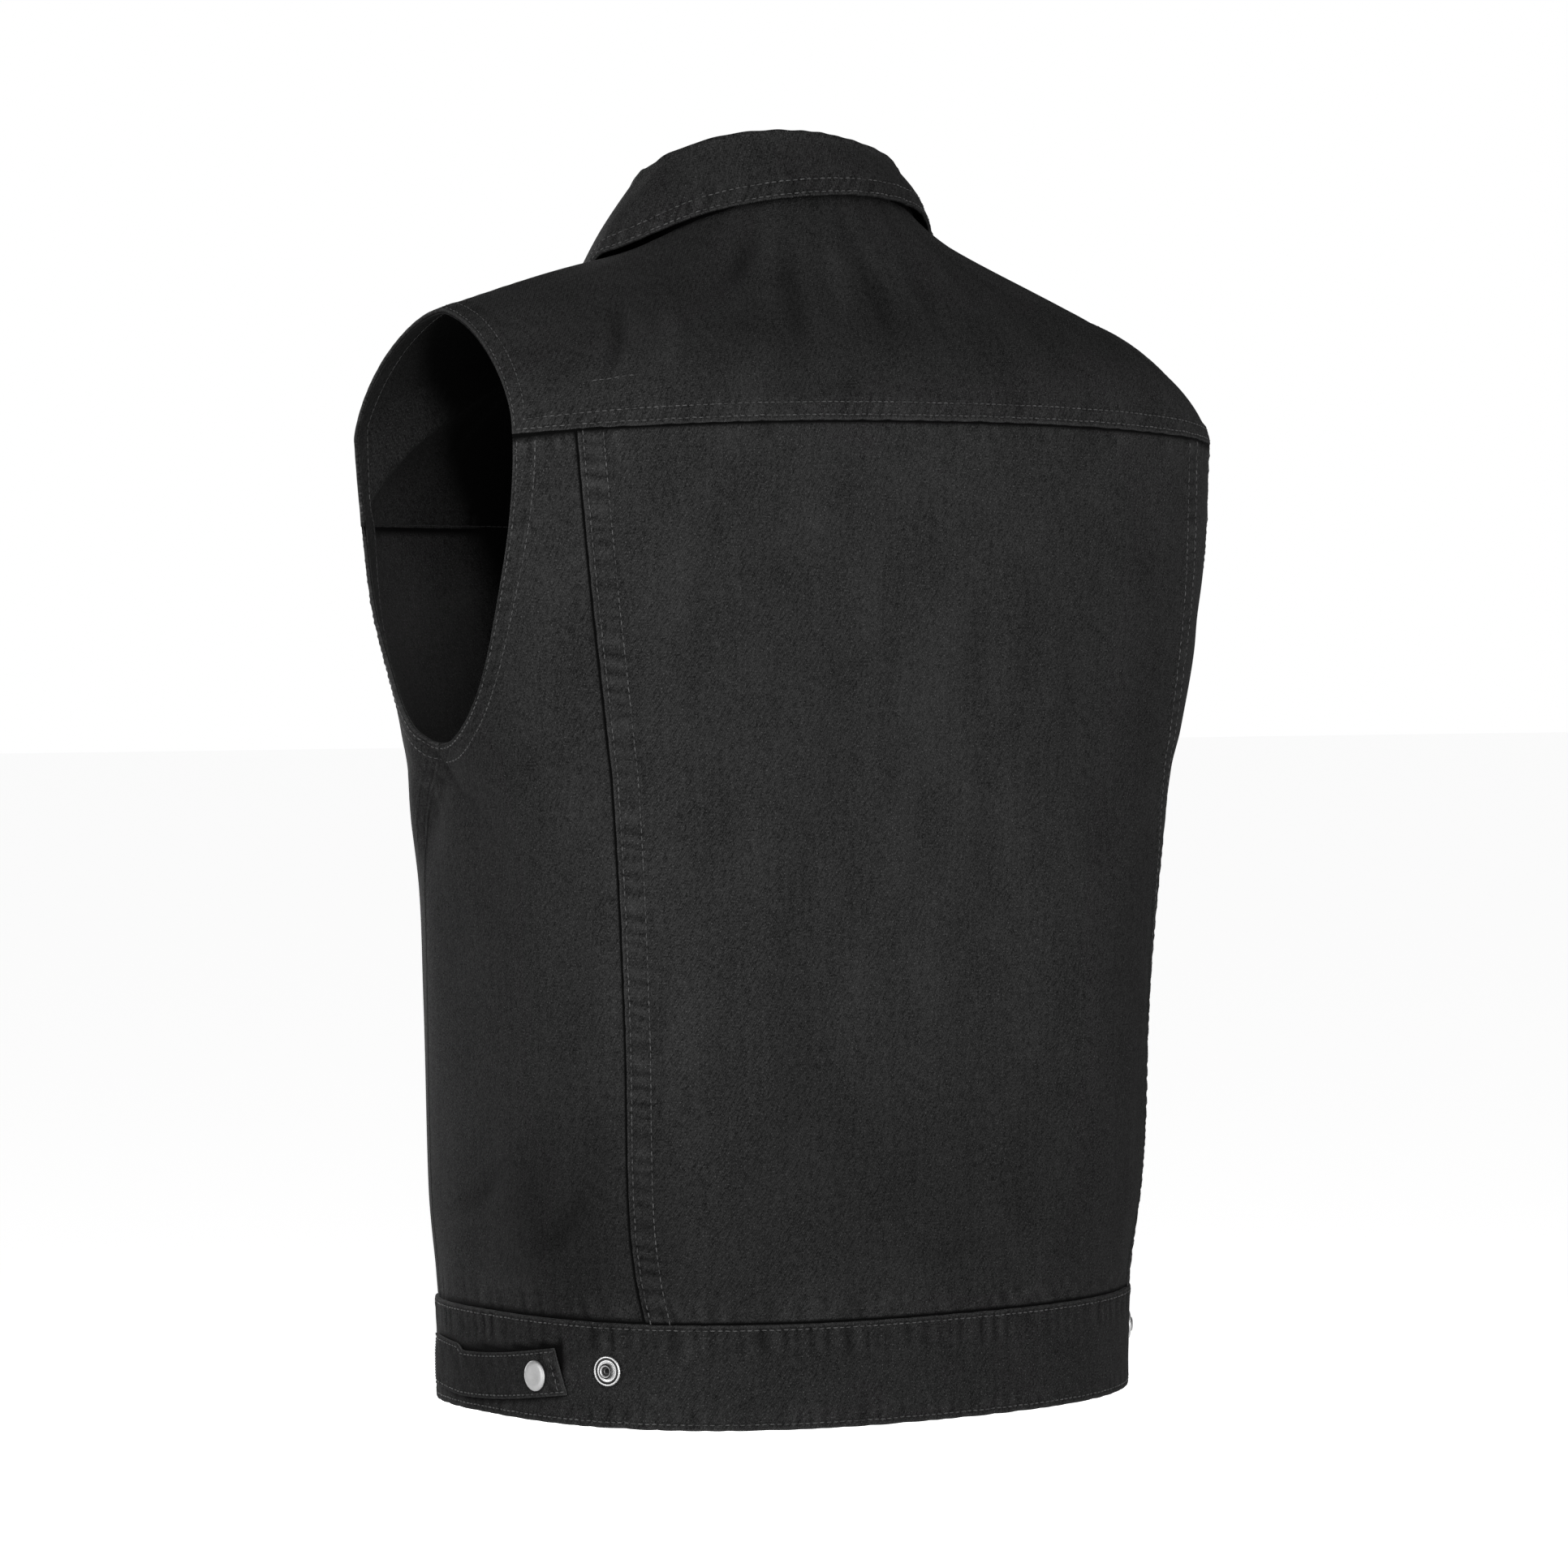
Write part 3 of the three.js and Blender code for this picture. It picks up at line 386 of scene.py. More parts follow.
def side_panel(a, b, hand, side, top, inner_turn, armhole_from, armhole_to):
    """A panel from its inner seam to the side seam, and above that to the armhole."""
    height = row_height(b, top)
    over = b > UNDERARM_SHARE
    y, z = armhole_yz(mix(armhole_from, armhole_to, np.where(over, climb_of(b), 0)))
    seam_height = mix(PANEL_FOOT, UNDERARM_HEIGHT, np.where(over, 1, climb_of(b)))
    seam = side_turn(seam_height)
    edge_turn = np.where(over, turn_at(y, z), seam + side * gap_turn(seam, seam_height))
    edge_height = np.where(over, z, seam_height)
    return body_point(hand * mix(inner_turn(height), edge_turn, a), mix(height, edge_height, a))


def back_side(hand):
    def inner_turn(height):
        return princess_turn(height) + gap_turn(princess_turn(height), height)

    top = armhole_turn(ARMHOLE_HEIGHT - SEAM_GAP, LOWER_BACK)
    return lambda a, b: side_panel(a, b, hand, -1, PRINCESS_TOP, inner_turn, 0, top)


def front_edge_turn(height):
    return np.pi - np.arctan2(FRONT_EDGE_X, column(SECTIONS, "front_depth", height))


def front_panel(hand):
    top = 1 - armhole_turn(FRONT_TOP, LOWER_FRONT)
    return lambda a, b: side_panel(a, b, hand, 1, FRONT_TOP, front_edge_turn, 1, top)


def yoke_point(side, share, neck_share, b):
    point = fan_point(side, share, neck_share, b)
    forward = FORWARD[side]
    point[..., 1] += forward * (SEAM_GAP / 2) * smooth(share, 0.9, 1)
    return point


def back_yoke(a, b):
    share = 1 - 2 * a
    point = yoke_point("back", np.abs(share), np.abs(share), b)
    point[..., 0] *= np.where(share < 0, -1, 1)
    return point


FRONT_START = CORNER_SHARE * (np.pi - float(front_edge_turn(FRONT_SEAM))) / (np.pi - FRONT_CORNER_TURN)
NECK_START = math.asin(FRONT_EDGE_X / NECK_HALF_WIDTH) / (math.pi / 2)


def front_yoke(hand):
    def surface(a, b):
        edge = yoke_point("front", FRONT_START, NECK_START, b)
        point = yoke_point("front", mix(FRONT_START, 1, a), mix(NECK_START, 1, a), b)
        point[..., 0] = hand * (point[..., 0] + (FRONT_EDGE_X - edge[..., 0]) * (1 - a) ** 2)
        return point

    return surface


PLACKET_SEAM_SHARE = 0.8
PLACKET_TOP = 0.98


def placket(a, b):
    upper = b > PLACKET_SEAM_SHARE
    climb = np.where(upper, (b - PLACKET_SEAM_SHARE) / (1 - PLACKET_SEAM_SHARE), 0)
    height = mix(PANEL_FOOT, FRONT_SEAM, np.where(upper, 1, b / PLACKET_SEAM_SHARE))
    on_yoke = front_yoke(1)(np.zeros_like(climb), PLACKET_TOP * climb)
    edge = np.where(upper[..., None], on_yoke, body_point(front_edge_turn(height), height))
    return vec(mix(-PLACKET_HALF_WIDTH, PLACKET_HALF_WIDTH, a), edge[..., 1], edge[..., 2])


def band_back(a, b):
    height = b * BAND_HEIGHT
    end = side_turn(height) - gap_turn(side_turn(height), height)
    return body_point(end * (2 * a - 1), height)


CLOSING = math.atan2(PLACKET_HALF_WIDTH, 140)


def band_front(hand):
    def surface(a, b):
        height = b * BAND_HEIGHT
        start = side_turn(height) + gap_turn(side_turn(height), height)
        return body_point(hand * mix(start, np.pi + CLOSING, a), height)

    return surface


def tab_low(a):
    return 15 - 8.5 * np.sin(np.minimum(a / 0.72, 1) * np.pi / 2) + 2.2 * np.maximum(0, a - 0.72) / 0.28


def tab(hand):
    def surface(a, b):
        turn = mix(np.radians(mix(TAB_FREE_BOTTOM, TAB_FREE_TOP, b)), math.radians(TAB_FIXED), a)
        low = tab_low(a)
        tall = mix(TAB_FREE_HEIGHT, TAB_FIXED_HEIGHT, smooth(a, TAB_STEP_FROM, TAB_STEP_TO))
        return body_point(hand * turn, mix(low, low + tall, b))

    return surface


# The collar: a stand that rises from the neckline, a fold, and a leaf that falls from it
LEAF_REACH = 89
LEAF_Y = -25
LEAF_HEIGHT = 603.5
LEAF_RISE = 27.5
LEAF_HALF_WIDTH = 91
REST_FROM = math.radians(48)
REST_TO = math.radians(96)
REST_REACH = 15
SHOULDER_REACH = 26
POINT_SHARE = 0.3
POINT_REACH = 62
REST_AWAY = 3
FOLD_HALF_WIDTH = 73
FOLD_Y = -20
FOLD_BACK_DEPTH = 66
FOLD_FRONT_DEPTH = 69
FOLD_HEIGHT = 641.5
FOLD_RISE = 21.5
FOLD_DROP = 88
FOLD_TILT = 5


def fold_line(theta, side):
    c = np.cos(theta)
    front = c < 0
    y = FOLD_Y + np.where(front, FOLD_FRONT_DEPTH, FOLD_BACK_DEPTH) * c
    z = FOLD_HEIGHT + np.where(front, -FOLD_DROP * c * c, FOLD_RISE * c)
    return vec(FOLD_HALF_WIDTH * np.sin(theta), y, z + side * FOLD_TILT * np.sin(theta) * (1 + c))


def leaf_on_yoke(side, share, reach):
    """The leaf's edge where it lies on a yoke, a little above its surface."""
    curve = fan_point(side, share[:, None], share[:, None], np.linspace(0, 1, 33)[None, :])
    b = 1 - reach / np.linalg.norm(np.diff(curve, axis=1), axis=-1).sum(1)

    def surface(x, y):
        return fan_point(side, x, x, y)

    across = surface(share, b) - surface(share - 1e-3, b)
    normal = unit(np.cross(across, surface(share, b + 1e-3) - surface(share, b)))
    return surface(share, b) + normal * np.where(normal[:, 2:] < 0, -1, 1) * REST_AWAY


def leaf_line(theta, end):
    c = np.cos(theta)
    free = vec(LEAF_HALF_WIDTH * np.sin(theta), LEAF_Y + LEAF_REACH * c, LEAF_HEIGHT + LEAF_RISE * c)
    quarter = np.pi / 2
    behind = leaf_on_yoke("back", np.clip(theta / quarter, 0.01, 1), mix(
        REST_REACH, SHOULDER_REACH, np.clip((theta - REST_FROM) / (quarter - REST_FROM), 0, 1)))
    t = np.clip((theta - quarter) / (end - quarter), 0, 1)
    before = leaf_on_yoke("front", mix(1, POINT_SHARE, t), mix(SHOULDER_REACH, POINT_REACH, t**1.2))
    rest = np.where((theta <= quarter)[:, None], behind, before)
    return mix(free, rest, smooth(theta, REST_FROM, REST_TO)[:, None])


def collar_sections(theta, end, side):
    behind = theta <= np.pi / 2
    beta = np.where(behind, theta, np.pi - theta)
    share = beta / (np.pi / 2)
    base = np.where(behind[:, None], neck_point("back", share), neck_point("front", share))
    base[:, 2] -= COLLAR_SINK
    fold = fold_line(theta, side)
    leaf = leaf_line(theta, end)
    out = unit((leaf - base) * np.array([1, 1, 0]))

    def near(away, down):
        return fold + out * away - np.array([0, 0, down])

    def bulge(p, q, push):
        return (p + q) / 2 + out * push

    inside = near(-COLLAR_FOLD, 4)
    outside = near(COLLAR_FOLD, 4)
    points = [base, bulge(base, inside, 0.5), inside, near(-COLLAR_FOLD * 0.6, 0.9),
              near(COLLAR_FOLD * 0.6, 0.9), outside, bulge(outside, leaf, 2.5), leaf]
    return np.stack(points, 1)


def spline_rows(points, shares):
    """Each row of points as a smooth curve through them, at the given shares of its length."""
    before_first = 2 * points[:, :1] - points[:, 1:2]
    after_last = 2 * points[:, -1:] - points[:, -2:-1]
    padded = np.concatenate([before_first, points, after_last], 1)
    t = np.linspace(0, 1, 9)[:-1][None, :, None]
    parts = []
    for k in range(points.shape[1] - 1):
        p, q, r, s = (padded[:, k + n][:, None] for n in range(4))
        step = np.linalg.norm(r - q, axis=-1)
        start = (r - p) / 2 * np.minimum(1, step / np.linalg.norm(q - p, axis=-1))[..., None]
        end = (s - q) / 2 * np.minimum(1, step / np.linalg.norm(s - r, axis=-1))[..., None]
        curve = (2 * t**3 - 3 * t**2 + 1) * q + (3 * t**2 - 2 * t**3) * r
        parts.append(curve + (t**3 - 2 * t**2 + t) * start + (t**3 - t**2) * end)
    dense = np.concatenate(parts + [points[:, -1:]], 1)
    made_rows = []
    for line in dense:
        s = distances(line)
        made_rows.append(interpolate(s[-1] * shares, s, line))
    return np.stack(made_rows)


# Stations across a piece: close together at its edges and seams, and wider between
EDGE_STOPS = (0, 0.12, 0.35, 0.8, 1.5)
SEAM_STOPS = (0, 0.12, 0.35, 0.8, 1.6, 2.2, 2.7, 3.3, 4.6, 6.4, 8.2, 8.9, 9.6, 10.8, 12.2, 12.8, 13.4,
              14.6, 16.2, 18.5)


def stations(length, count, start=EDGE_STOPS, end=EDGE_STOPS):
    """Shares of a length, or of each of several lengths, with the given stops at its two ends."""
    length = np.atleast_1d(np.asarray(length, float))[:, None]
    squeeze = np.minimum(1, length * 0.9 / (start[-1] + end[-1]))
    first = np.array(start)[None, :] * squeeze
    last = length - np.array(end)[None, ::-1] * squeeze
    t = np.linspace(0, 1, count + 2)[1:-1][None, :]
    between = mix(first[:, -1:], last[:, :1], t)
    return np.concatenate([first, between, last], 1) / length


def on_grid(surface, across, up):
    return surface(*np.broadcast_arrays(across[:, None], up[None, :]))


# Creases: soft troughs and ridges along lines of surface points
def on_body(turn, height):
    return body_point(math.radians(turn), height)


def on_back_yoke(share, b):
    return back_yoke(np.array((1 - share) / 2), np.array(b))


def on_surface(surface):
    return lambda a, b: surface(np.array(a), np.array(b))


def crease_lines(place, *rows):
    """Creases from rows that hold three places on a surface, a width and a push."""
    return [(np.array([place(*row[k:k + 2]) for k in (0, 2, 4)], float), row[6], row[7]) for row in rows]


def hat(distance, width):
    r = distance / width
    return (1 - 1.1 * r**2) * np.exp(-(r**2))


def crease_push(points, creases):
    """How far the creases push each point out."""
    flat = points.reshape(-1, 3)
    total = np.zeros(len(flat))
    for line, width, push in creases:
        low = line.min(0) - 4 * width
        high = line.max(0) + 4 * width
        near = np.all((flat > low) & (flat < high), axis=1)
        if not near.any():
            continue
        chosen = flat[near]
        lengths = np.linalg.norm(np.diff(line, axis=0), axis=1)
        before = np.insert(np.cumsum(lengths), 0, 0)
        nearest = np.full(len(chosen), np.inf)
        place = np.zeros(len(chosen))
        for k, length in enumerate(lengths):
            way = (line[k + 1] - line[k]) / length
            t = np.clip((chosen - line[k]) @ way, 0, length)
            gap = np.linalg.norm(chosen - line[k] - t[:, None] * way, axis=1)
            closer = gap < nearest
            nearest = np.where(closer, gap, nearest)
            place = np.where(closer, (before[k] + t) / before[-1], place)
        taper = np.sin(np.pi * np.clip(place, 0.02, 0.98)) ** 0.7
        total[near] += push * taper * hat(nearest, width * (0.6 + 0.4 * taper))
    return total.reshape(points.shape[:-1])


# The cloth's own unevenness
def phase(s, length):
    return 2 * np.pi * s / length


PUCKER_PITCH = 8.8
STRENGTH_WAVES = (61, 149)
SPACING_WAVES = (41, 23)


def pucker(s, seed):
    """Pillows along a seam with sharp hollows between them, uneven in spacing and strength."""
    long_wave, longer_wave = (phase(s, length) for length in STRENGTH_WAVES)
    slow = 0.66 + 0.34 * np.sin(long_wave + seed * 1.3) * np.cos(longer_wave + seed)
    wide, narrow = (phase(s, length) for length in SPACING_WAVES)
    place = s / PUCKER_PITCH + 0.26 * np.sin(wide + seed) + 0.12 * np.sin(narrow + 2.1 * seed)
    return slow * (1.9 * np.abs(np.sin(np.pi * place)) ** 0.8 - 1.25)


def ripple(points):
    """Very low waves over the whole cloth, so that no panel is perfectly even."""
    z = points[..., 2]
    turn = np.arctan2(points[..., 0], points[..., 1])
    first = np.sin(turn * 9 + z / 61 + 1.4 * np.sin(z / 87))
    second = np.sin(turn * 17 - z / 43 + 0.9 + np.sin(turn * 5 + z / 120))
    return 0.28 * first * second + 0.16 * np.sin(turn * 23 + z / 29 + 1.7 * np.sin(z / 53 + turn * 3))


# Painted shade as slow patches: darker low down, at the side edges, over the yoke and collar and by the left
# tab; one patch a little lighter.
SHADES = table(
    "turn height turn_spread height_spread depth",
    (74, 105, 14, 52, 0.36),
    (62, 70, 16, 26, 0.14),
    (38, 110, 46, 80, 0.22),
    (-20, 100, 34, 80, 0.19),
    (-52, 240, 17, 200, 0.3),
    (0, 562, 80, 36, 0.35),
    (98, 24, 20, 24, 0.3),
    (84, 350, 24, 170, 0.13),
    (28, 632, 150, 34, 0.31),
    (6, 330, 12, 150, -0.06),
    (-30, 420, 10, 90, 0.05),
    (30, 260, 9, 110, 0.05),
    (-46, 545, 20, 30, 0.08),
    (130, 90, 30, 50, 0.12),
    (-140, 110, 30, 60, 0.12),
)


def shade(points):
    """Slow patches of painted shade, with some tone in the dye, carried as wear: darker below nothing, and a
    few a little lighter.
    """
    turn = np.degrees(np.arctan2(points[..., 0], points[..., 1]))
    total = np.zeros(points.shape[:-1])
    for middle, level, turn_spread, height_spread, depth in zip(*SHADES.values()):
        across = (turn - middle) / turn_spread
        up = (points[..., 2] - level) / height_spread
        total -= depth * np.exp(-across**2 - up**2)
    return total


class Seam:
    """A sewn edge: its rows of stitches, its lap, its puckers and their reach, how it is worn, the painted
    shadow beside it, and the wear and painted shade on its rim.
    """

    def __init__(self, edge, rows=(), lap=0.0, puckers=0.0, reach=18.0, part=(0, 1), seed=0.0, sway=0.0,
                 width=LAP_WIDTH, shadow=0.0, shadow_width=2.6, rim=0.15):
        self.edge = edge
        self.rows = rows
        self.lap = lap
        self.puckers = puckers
        self.reach = reach
        self.part = part
        self.seed = seed
        self.sway = sway
        self.width = width
        self.shadow = shadow
        self.shadow_width = shadow_width
        self.rim = rim


# Painted highlight on crease and ripple ridges, and painted shade in their troughs.
CREASE_PAINTED_LIGHT = 0.16
GROOVE_DEPTH = 0.3
GROOVE_WIDTH = 0.6
ROW_SHADE = 0.2
ROW_SHADE_WIDTH = 0.8
LIP_WEAR = 0.3
# Pucker tops lighter with wear, and painted shade in the hollows between them.
LIGHT_PUCKERS = 0.9
PUCKER_HOLLOW_SHADE = 0.85
PART_BLUR = 0.02
PUCKER_FROM = (0.3, 2.5)
PUCKER_FADE = 0.55
PUCKER_SLANT = 0.12
EDGE_PUCKERS = 0.35
EDGE_PUCKER_REACH = 4
LIP = (0.3, 1.9)
SWAY_REACH = 9
SWAY_PITCH = 0.6
INNER_RELIEF = 0.35
EDGE_ROUND = 0.8
EDGE_DROP = 0.55
UV_UNIT = 100


def lengths_along(points, axis):
    steps = np.linalg.norm(np.diff(points, axis=axis), axis=-1)
    pad = [(0, 0), (0, 0)]
    pad[axis] = (1, 0)
    return np.pad(np.cumsum(steps, axis=axis), pad)


def cloth_places(grain, points, across, up, out):
    """Where each point lies in the flat cloth, in millimetres, its twill leaning alike on every piece."""
    if grain == "shoulder":
        behind = np.sign(points[..., 1].mean() - NECK_Y)
        return np.stack([-behind * points[..., 0], 0.84 * (points[..., 2] - behind * points[..., 1])], -1)
    way = np.cross(np.gradient(points, axis=0), np.gradient(points, axis=1))
    middle = tuple(n // 2 for n in points.shape[:2])
    hand = np.sign(np.dot(way[middle], out[middle]))
    if grain == "edge":
        return np.stack([hand * across, points[..., 2]], -1)
    return np.stack([hand * (across - across[-1:] / 2), up], -1)


class Piece:
    """The fine grid of one sewn piece: its outer and inner faces, and distances from its edges."""

    def __init__(self, points, thickness=CLOTH, seams=(), creases=(), lift=0.0, out=None, ring=False,
                 undulate=1.0, grain="centre"):
        if out is None:
            out = face_out(np.cross(np.gradient(points, axis=0), np.gradient(points, axis=1)), points)
        across = lengths_along(points, 0)
        up = lengths_along(points, 1)
        self.ring = ring
        self.points = points
        self.out = out
        self.distance = {"a0": across, "a1": across[-1:] - across, "b0": up, "b1": up[:, -1:] - up}
        self.size = (across[-1].max(), up[:, -1].max())
        self.uv = cloth_places(grain, points, across, up, out) / UV_UNIT
        bend = crease_push(points, creases) + undulate * ripple(points)
        self.relief = np.zeros(points.shape[:-1])
        self.rim = np.zeros(points.shape[:-1])
        # Painted shade in slow patches, with painted highlight and shade over creases and ripples.
        self.wear_and_painted_light = shade(points) + CREASE_PAINTED_LIGHT * bend
        self.sway = np.zeros(points.shape)
        for seam in seams:
            self.sew(seam)
        self.wear_and_painted_light = np.clip(self.wear_and_painted_light, -1, 1)
        nearest = np.minimum.reduce([self.distance[k] for k in (("b0", "b1") if ring else self.distance)])
        edge = np.clip(1 - nearest / EDGE_ROUND, 0, 1)
        drop = EDGE_DROP * (1 - np.sqrt(1 - edge**2))
        rise = lift + self.relief + bend - drop
        depth = lift + bend + INNER_RELIEF * np.minimum(self.relief, 0) - thickness + drop
        self.outer = points + self.sway + out * rise[..., None]
        self.inner = points + self.sway + out * depth[..., None]

    def sew(self, seam):
        """Adds one seam's relief, wear and sway, with painted shade in its pucker hollows, along its rows,
        on a rim below nothing and as a painted shadow beside it.
        """
        d = self.distance[seam.edge]
        axis = 0 if seam.edge[0] == "a" else 1
        s = self.distance["a0" if axis else "b0"]
        mask = seam_mask(s / np.maximum(s.max(1 - axis, keepdims=True), 1e-9), seam.part)
        wave = pucker(s + PUCKER_SLANT * d, seam.seed)
        band = smooth(d, *PUCKER_FROM) * (1 - smooth(d, seam.reach * PUCKER_FADE, seam.reach))
        self.relief += mask * seam.lap * (1 - smooth(d, seam.width, seam.width + LAP_FADE))
        strength = band + EDGE_PUCKERS * (1 - smooth(d, 0, EDGE_PUCKER_REACH))
        self.relief += mask * seam.puckers * wave * strength
        # Pucker tops lighter with wear, their hollows darker with painted shade.
        light = np.clip(wave, 0, 1) * LIGHT_PUCKERS - np.clip(-wave, 0, 1.3) * PUCKER_HOLLOW_SHADE
        self.wear_and_painted_light += mask * light * band * seam.puckers
        # Wear on the rim where a seam's rim is above nothing, painted shade where it is below.
        self.rim += mask * seam.rim * (1 - smooth(d, 0, 1))
        if seam.lap or seam.rows:
            self.wear_and_painted_light += mask * LIP_WEAR * (1 - smooth(d, *LIP))
        for row in seam.rows:
            self.relief -= mask * GROOVE_DEPTH * np.exp(-(((d - row) / GROOVE_WIDTH) ** 2))
            self.wear_and_painted_light -= mask * ROW_SHADE * np.exp(-(((d - row) / ROW_SHADE_WIDTH) ** 2))
        self.wear_and_painted_light -= mask * seam.shadow * (1 - smooth(d, seam.shadow_width * 0.5, seam.shadow_width))
        if seam.sway:
            inward = unit(np.gradient(self.points, axis=axis)) * (1 if seam.edge[1] == "0" else -1)
            push = 0.5 + 0.5 * pucker(s * SWAY_PITCH, seam.seed + 2)
            push = mask * seam.sway * push * (1 - smooth(d, 0, SWAY_REACH))
            self.sway -= inward * push[..., None]

    def area(self):
        across = np.diff(self.points, axis=0)[:, :-1]
        up = np.diff(self.points, axis=1)[:-1]
        return float(np.linalg.norm(np.cross(across, up), axis=-1).sum())

    def row(self, edge, distance, part=(0, 1), face="outer"):
        """Points and normals along a line at one distance from an edge."""
        d, grid, out = self.distance[edge], getattr(self, face), self.out
        if edge[0] == "a":
            d, grid, out = d.T, grid.transpose(1, 0, 2), out.transpose(1, 0, 2)
        if edge[1] == "1":
            d, grid, out = d[:, ::-1], grid[:, ::-1], out[:, ::-1]
        line = np.array([interpolate(distance, d[i], grid[i]) for i in range(len(d))])
        ways = unit(np.array([interpolate(distance, d[i], out[i]) for i in range(len(d))]))
        s = distances(line)
        keep = (s >= part[0] * s[-1]) & (s <= part[1] * s[-1])
        return line[keep], ways[keep]


def seam_mask(place, part):
    """One along a stretch of an edge, fading at its ends."""
    mask = 1.0
    if part[0] > 0:
        mask = smooth(place, part[0] - PART_BLUR, part[0] + PART_BLUR)
    if part[1] < 1:
        mask = mask * (1 - smooth(place, part[1] - PART_BLUR, part[1] + PART_BLUR))
    return mask


# Meshes
# Painted light inside the vest: lighter low down, painted shade higher up, and darker nearer the middle than
# reach.
INNER = table("height shade reach", (340, -0.3, 84), (417, -0.25, 99), (465, 0.12, 118),
              (513, 0.26, 152), (566, 0.3, 190))
DEEP_BLUR = 20
DEEP_SHADE = 1.3


def inner_painted_shade_and_light(piece):
    """The wrong side of the cloth: painted light and shade by its height, and painted shade further in."""
    height = piece.points[..., 2]
    reach = np.interp(height, INNER["height"], INNER["reach"])
    deep = 1 - smooth(np.abs(piece.points[..., 0]) - reach, -DEEP_BLUR, DEEP_BLUR)
    shaded = np.minimum(piece.wear_and_painted_light, 0) - np.interp(height, INNER["height"], INNER["shade"])
    return np.clip(shaded - DEEP_SHADE * deep, -1, 1)


def to_metres(points):
    """Places in the frame, in metres from the mount, with the hem's slope and bow."""
    moved = np.array(points, float)
    fade = 1 - smooth(moved[..., 2], 0, HEM_FADE)
    rise = HEM_BOW * (moved[..., 0] / HEM_HALF_WIDTH) ** 2 - HEM_SLOPE * moved[..., 0]
    moved[..., 2] += rise * fade - HELD_HEIGHT
    return moved * 0.001


def turned_out(vertices, quads):
    """The quads facing out of the closed body that they make."""
    p, q, r, s = (vertices[quads[:, k]] for k in range(4))
    first = np.einsum("ij,ij->i", p, np.cross(q, r))
    second = np.einsum("ij,ij->i", p, np.cross(r, s))
    return quads[:, ::-1] if (first + second).sum() < 0 else quads


def make_object(name, vertices, quads, material, wear_and_painted_light, uv=None):
    mesh = bpy.data.meshes.new(name)
    mesh.vertices.add(len(vertices))
    mesh.vertices.foreach_set("co", np.asarray(vertices, np.float32).ravel())
    mesh.loops.add(quads.size)
    mesh.loops.foreach_set("vertex_index", quads.astype(np.int32).ravel())
    mesh.polygons.add(len(quads))
    mesh.polygons.foreach_set("loop_start", np.arange(0, quads.size, quads.shape[1], dtype=np.int32))
    mesh.polygons.foreach_set("use_smooth", np.ones(len(quads), bool))
    mesh.update(calc_edges=True)
    if uv is not None:
        layer = mesh.uv_layers.new(name="UVMap")
        layer.data.foreach_set("uv", uv[quads.ravel()].astype(np.float32).ravel())
    # A value per point that carries wear, painted shade and painted highlight, read by the materials.
    attribute = mesh.attributes.new("wear_and_painted_light", "FLOAT", "POINT")
    attribute.data.foreach_set("value", wear_and_painted_light.astype(np.float32))
    mesh.materials.append(material)
    mesh.validate()
    obj = bpy.data.objects.new(name, mesh)
    bpy.context.scene.collection.objects.link(obj)
    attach(obj, "root")
    return obj


def boundary(rows, columns, ring):
    """Loops of grid places round the edge, each with its neighbour inside the grid."""
    i = np.arange(rows)
    j = np.arange(columns)
    top = columns - 1
    if ring:
        return [(np.stack([i, 0 * i + top], 1), np.stack([i, 0 * i + top - 1], 1)),
                (np.stack([i[::-1], 0 * i], 1), np.stack([i[::-1], 0 * i + 1], 1))]
    sides = [np.stack([0 * j, j], 1)[:-1], np.stack([i, 0 * i + top], 1)[:-1],
             np.stack([0 * j + rows - 1, j[::-1]], 1)[:-1], np.stack([i[::-1], 0 * i], 1)[:-1]]
    loop = np.concatenate(sides)
    inside = np.stack([np.clip(loop[:, 0], 1, rows - 2), np.clip(loop[:, 1], 1, columns - 2)], 1)
    return [(loop, inside)]


def index_pairs(rows, columns):
    return (index.ravel() for index in np.meshgrid(np.arange(rows), np.arange(columns), indexing="ij"))


EDGE_GROOVE = -0.12


def shell(name, piece, material, groove):
    """A closed thin wall over a piece's grid. A groove draws the middle of its edge in, as between plies."""
    rows, columns = piece.outer.shape[:2]
    count = rows * columns
    i, j = index_pairs(rows if piece.ring else rows - 1, columns - 1)
    after = (i + 1) % rows
    face = np.stack([i * columns + j, i * columns + j + 1, after * columns + j + 1, after * columns + j], 1)
    quads = [face, face[:, ::-1] + count]
    outer = piece.outer.reshape(-1, 3)
    inner = piece.inner.reshape(-1, 3)
    vertices = [outer, inner]
    uv = [piece.uv.reshape(-1, 2)] * 2
    wear_and_painted_light = [piece.wear_and_painted_light.ravel(), inner_painted_shade_and_light(piece).ravel()]
    used = 2 * count
    for loop, inside in boundary(rows, columns, piece.ring):
        at = loop[:, 0] * columns + loop[:, 1]
        next_in = inside[:, 0] * columns + inside[:, 1]
        edge = (outer[at] + inner[at]) / 2
        within = (outer[next_in] + inner[next_in]) / 2
        vertices.append(edge + unit(within - edge) * groove)
        uv.append(uv[0][at])
        wear_and_painted_light.append(piece.rim.ravel()[at])
        middle = used + np.arange(len(at))
        used += len(at)
        following = np.roll(np.arange(len(at)), -1)
        quads.append(np.stack([at[following], at, middle, middle[following]], 1))
        quads.append(np.stack([middle[following], middle, at + count, at[following] + count], 1))
    quads = np.concatenate(quads)
    vertices = to_metres(np.concatenate(vertices))
    quads = turned_out(vertices, quads)
    return make_object(name, vertices, quads, material, np.concatenate(wear_and_painted_light), np.concatenate(uv))


# Stitches: short plump threads that go down into the cloth at both ends
STITCH_PITCH = 3.8
STITCH_LENGTH = 3.5
THREAD = 0.33
STITCH_SIDES = 6
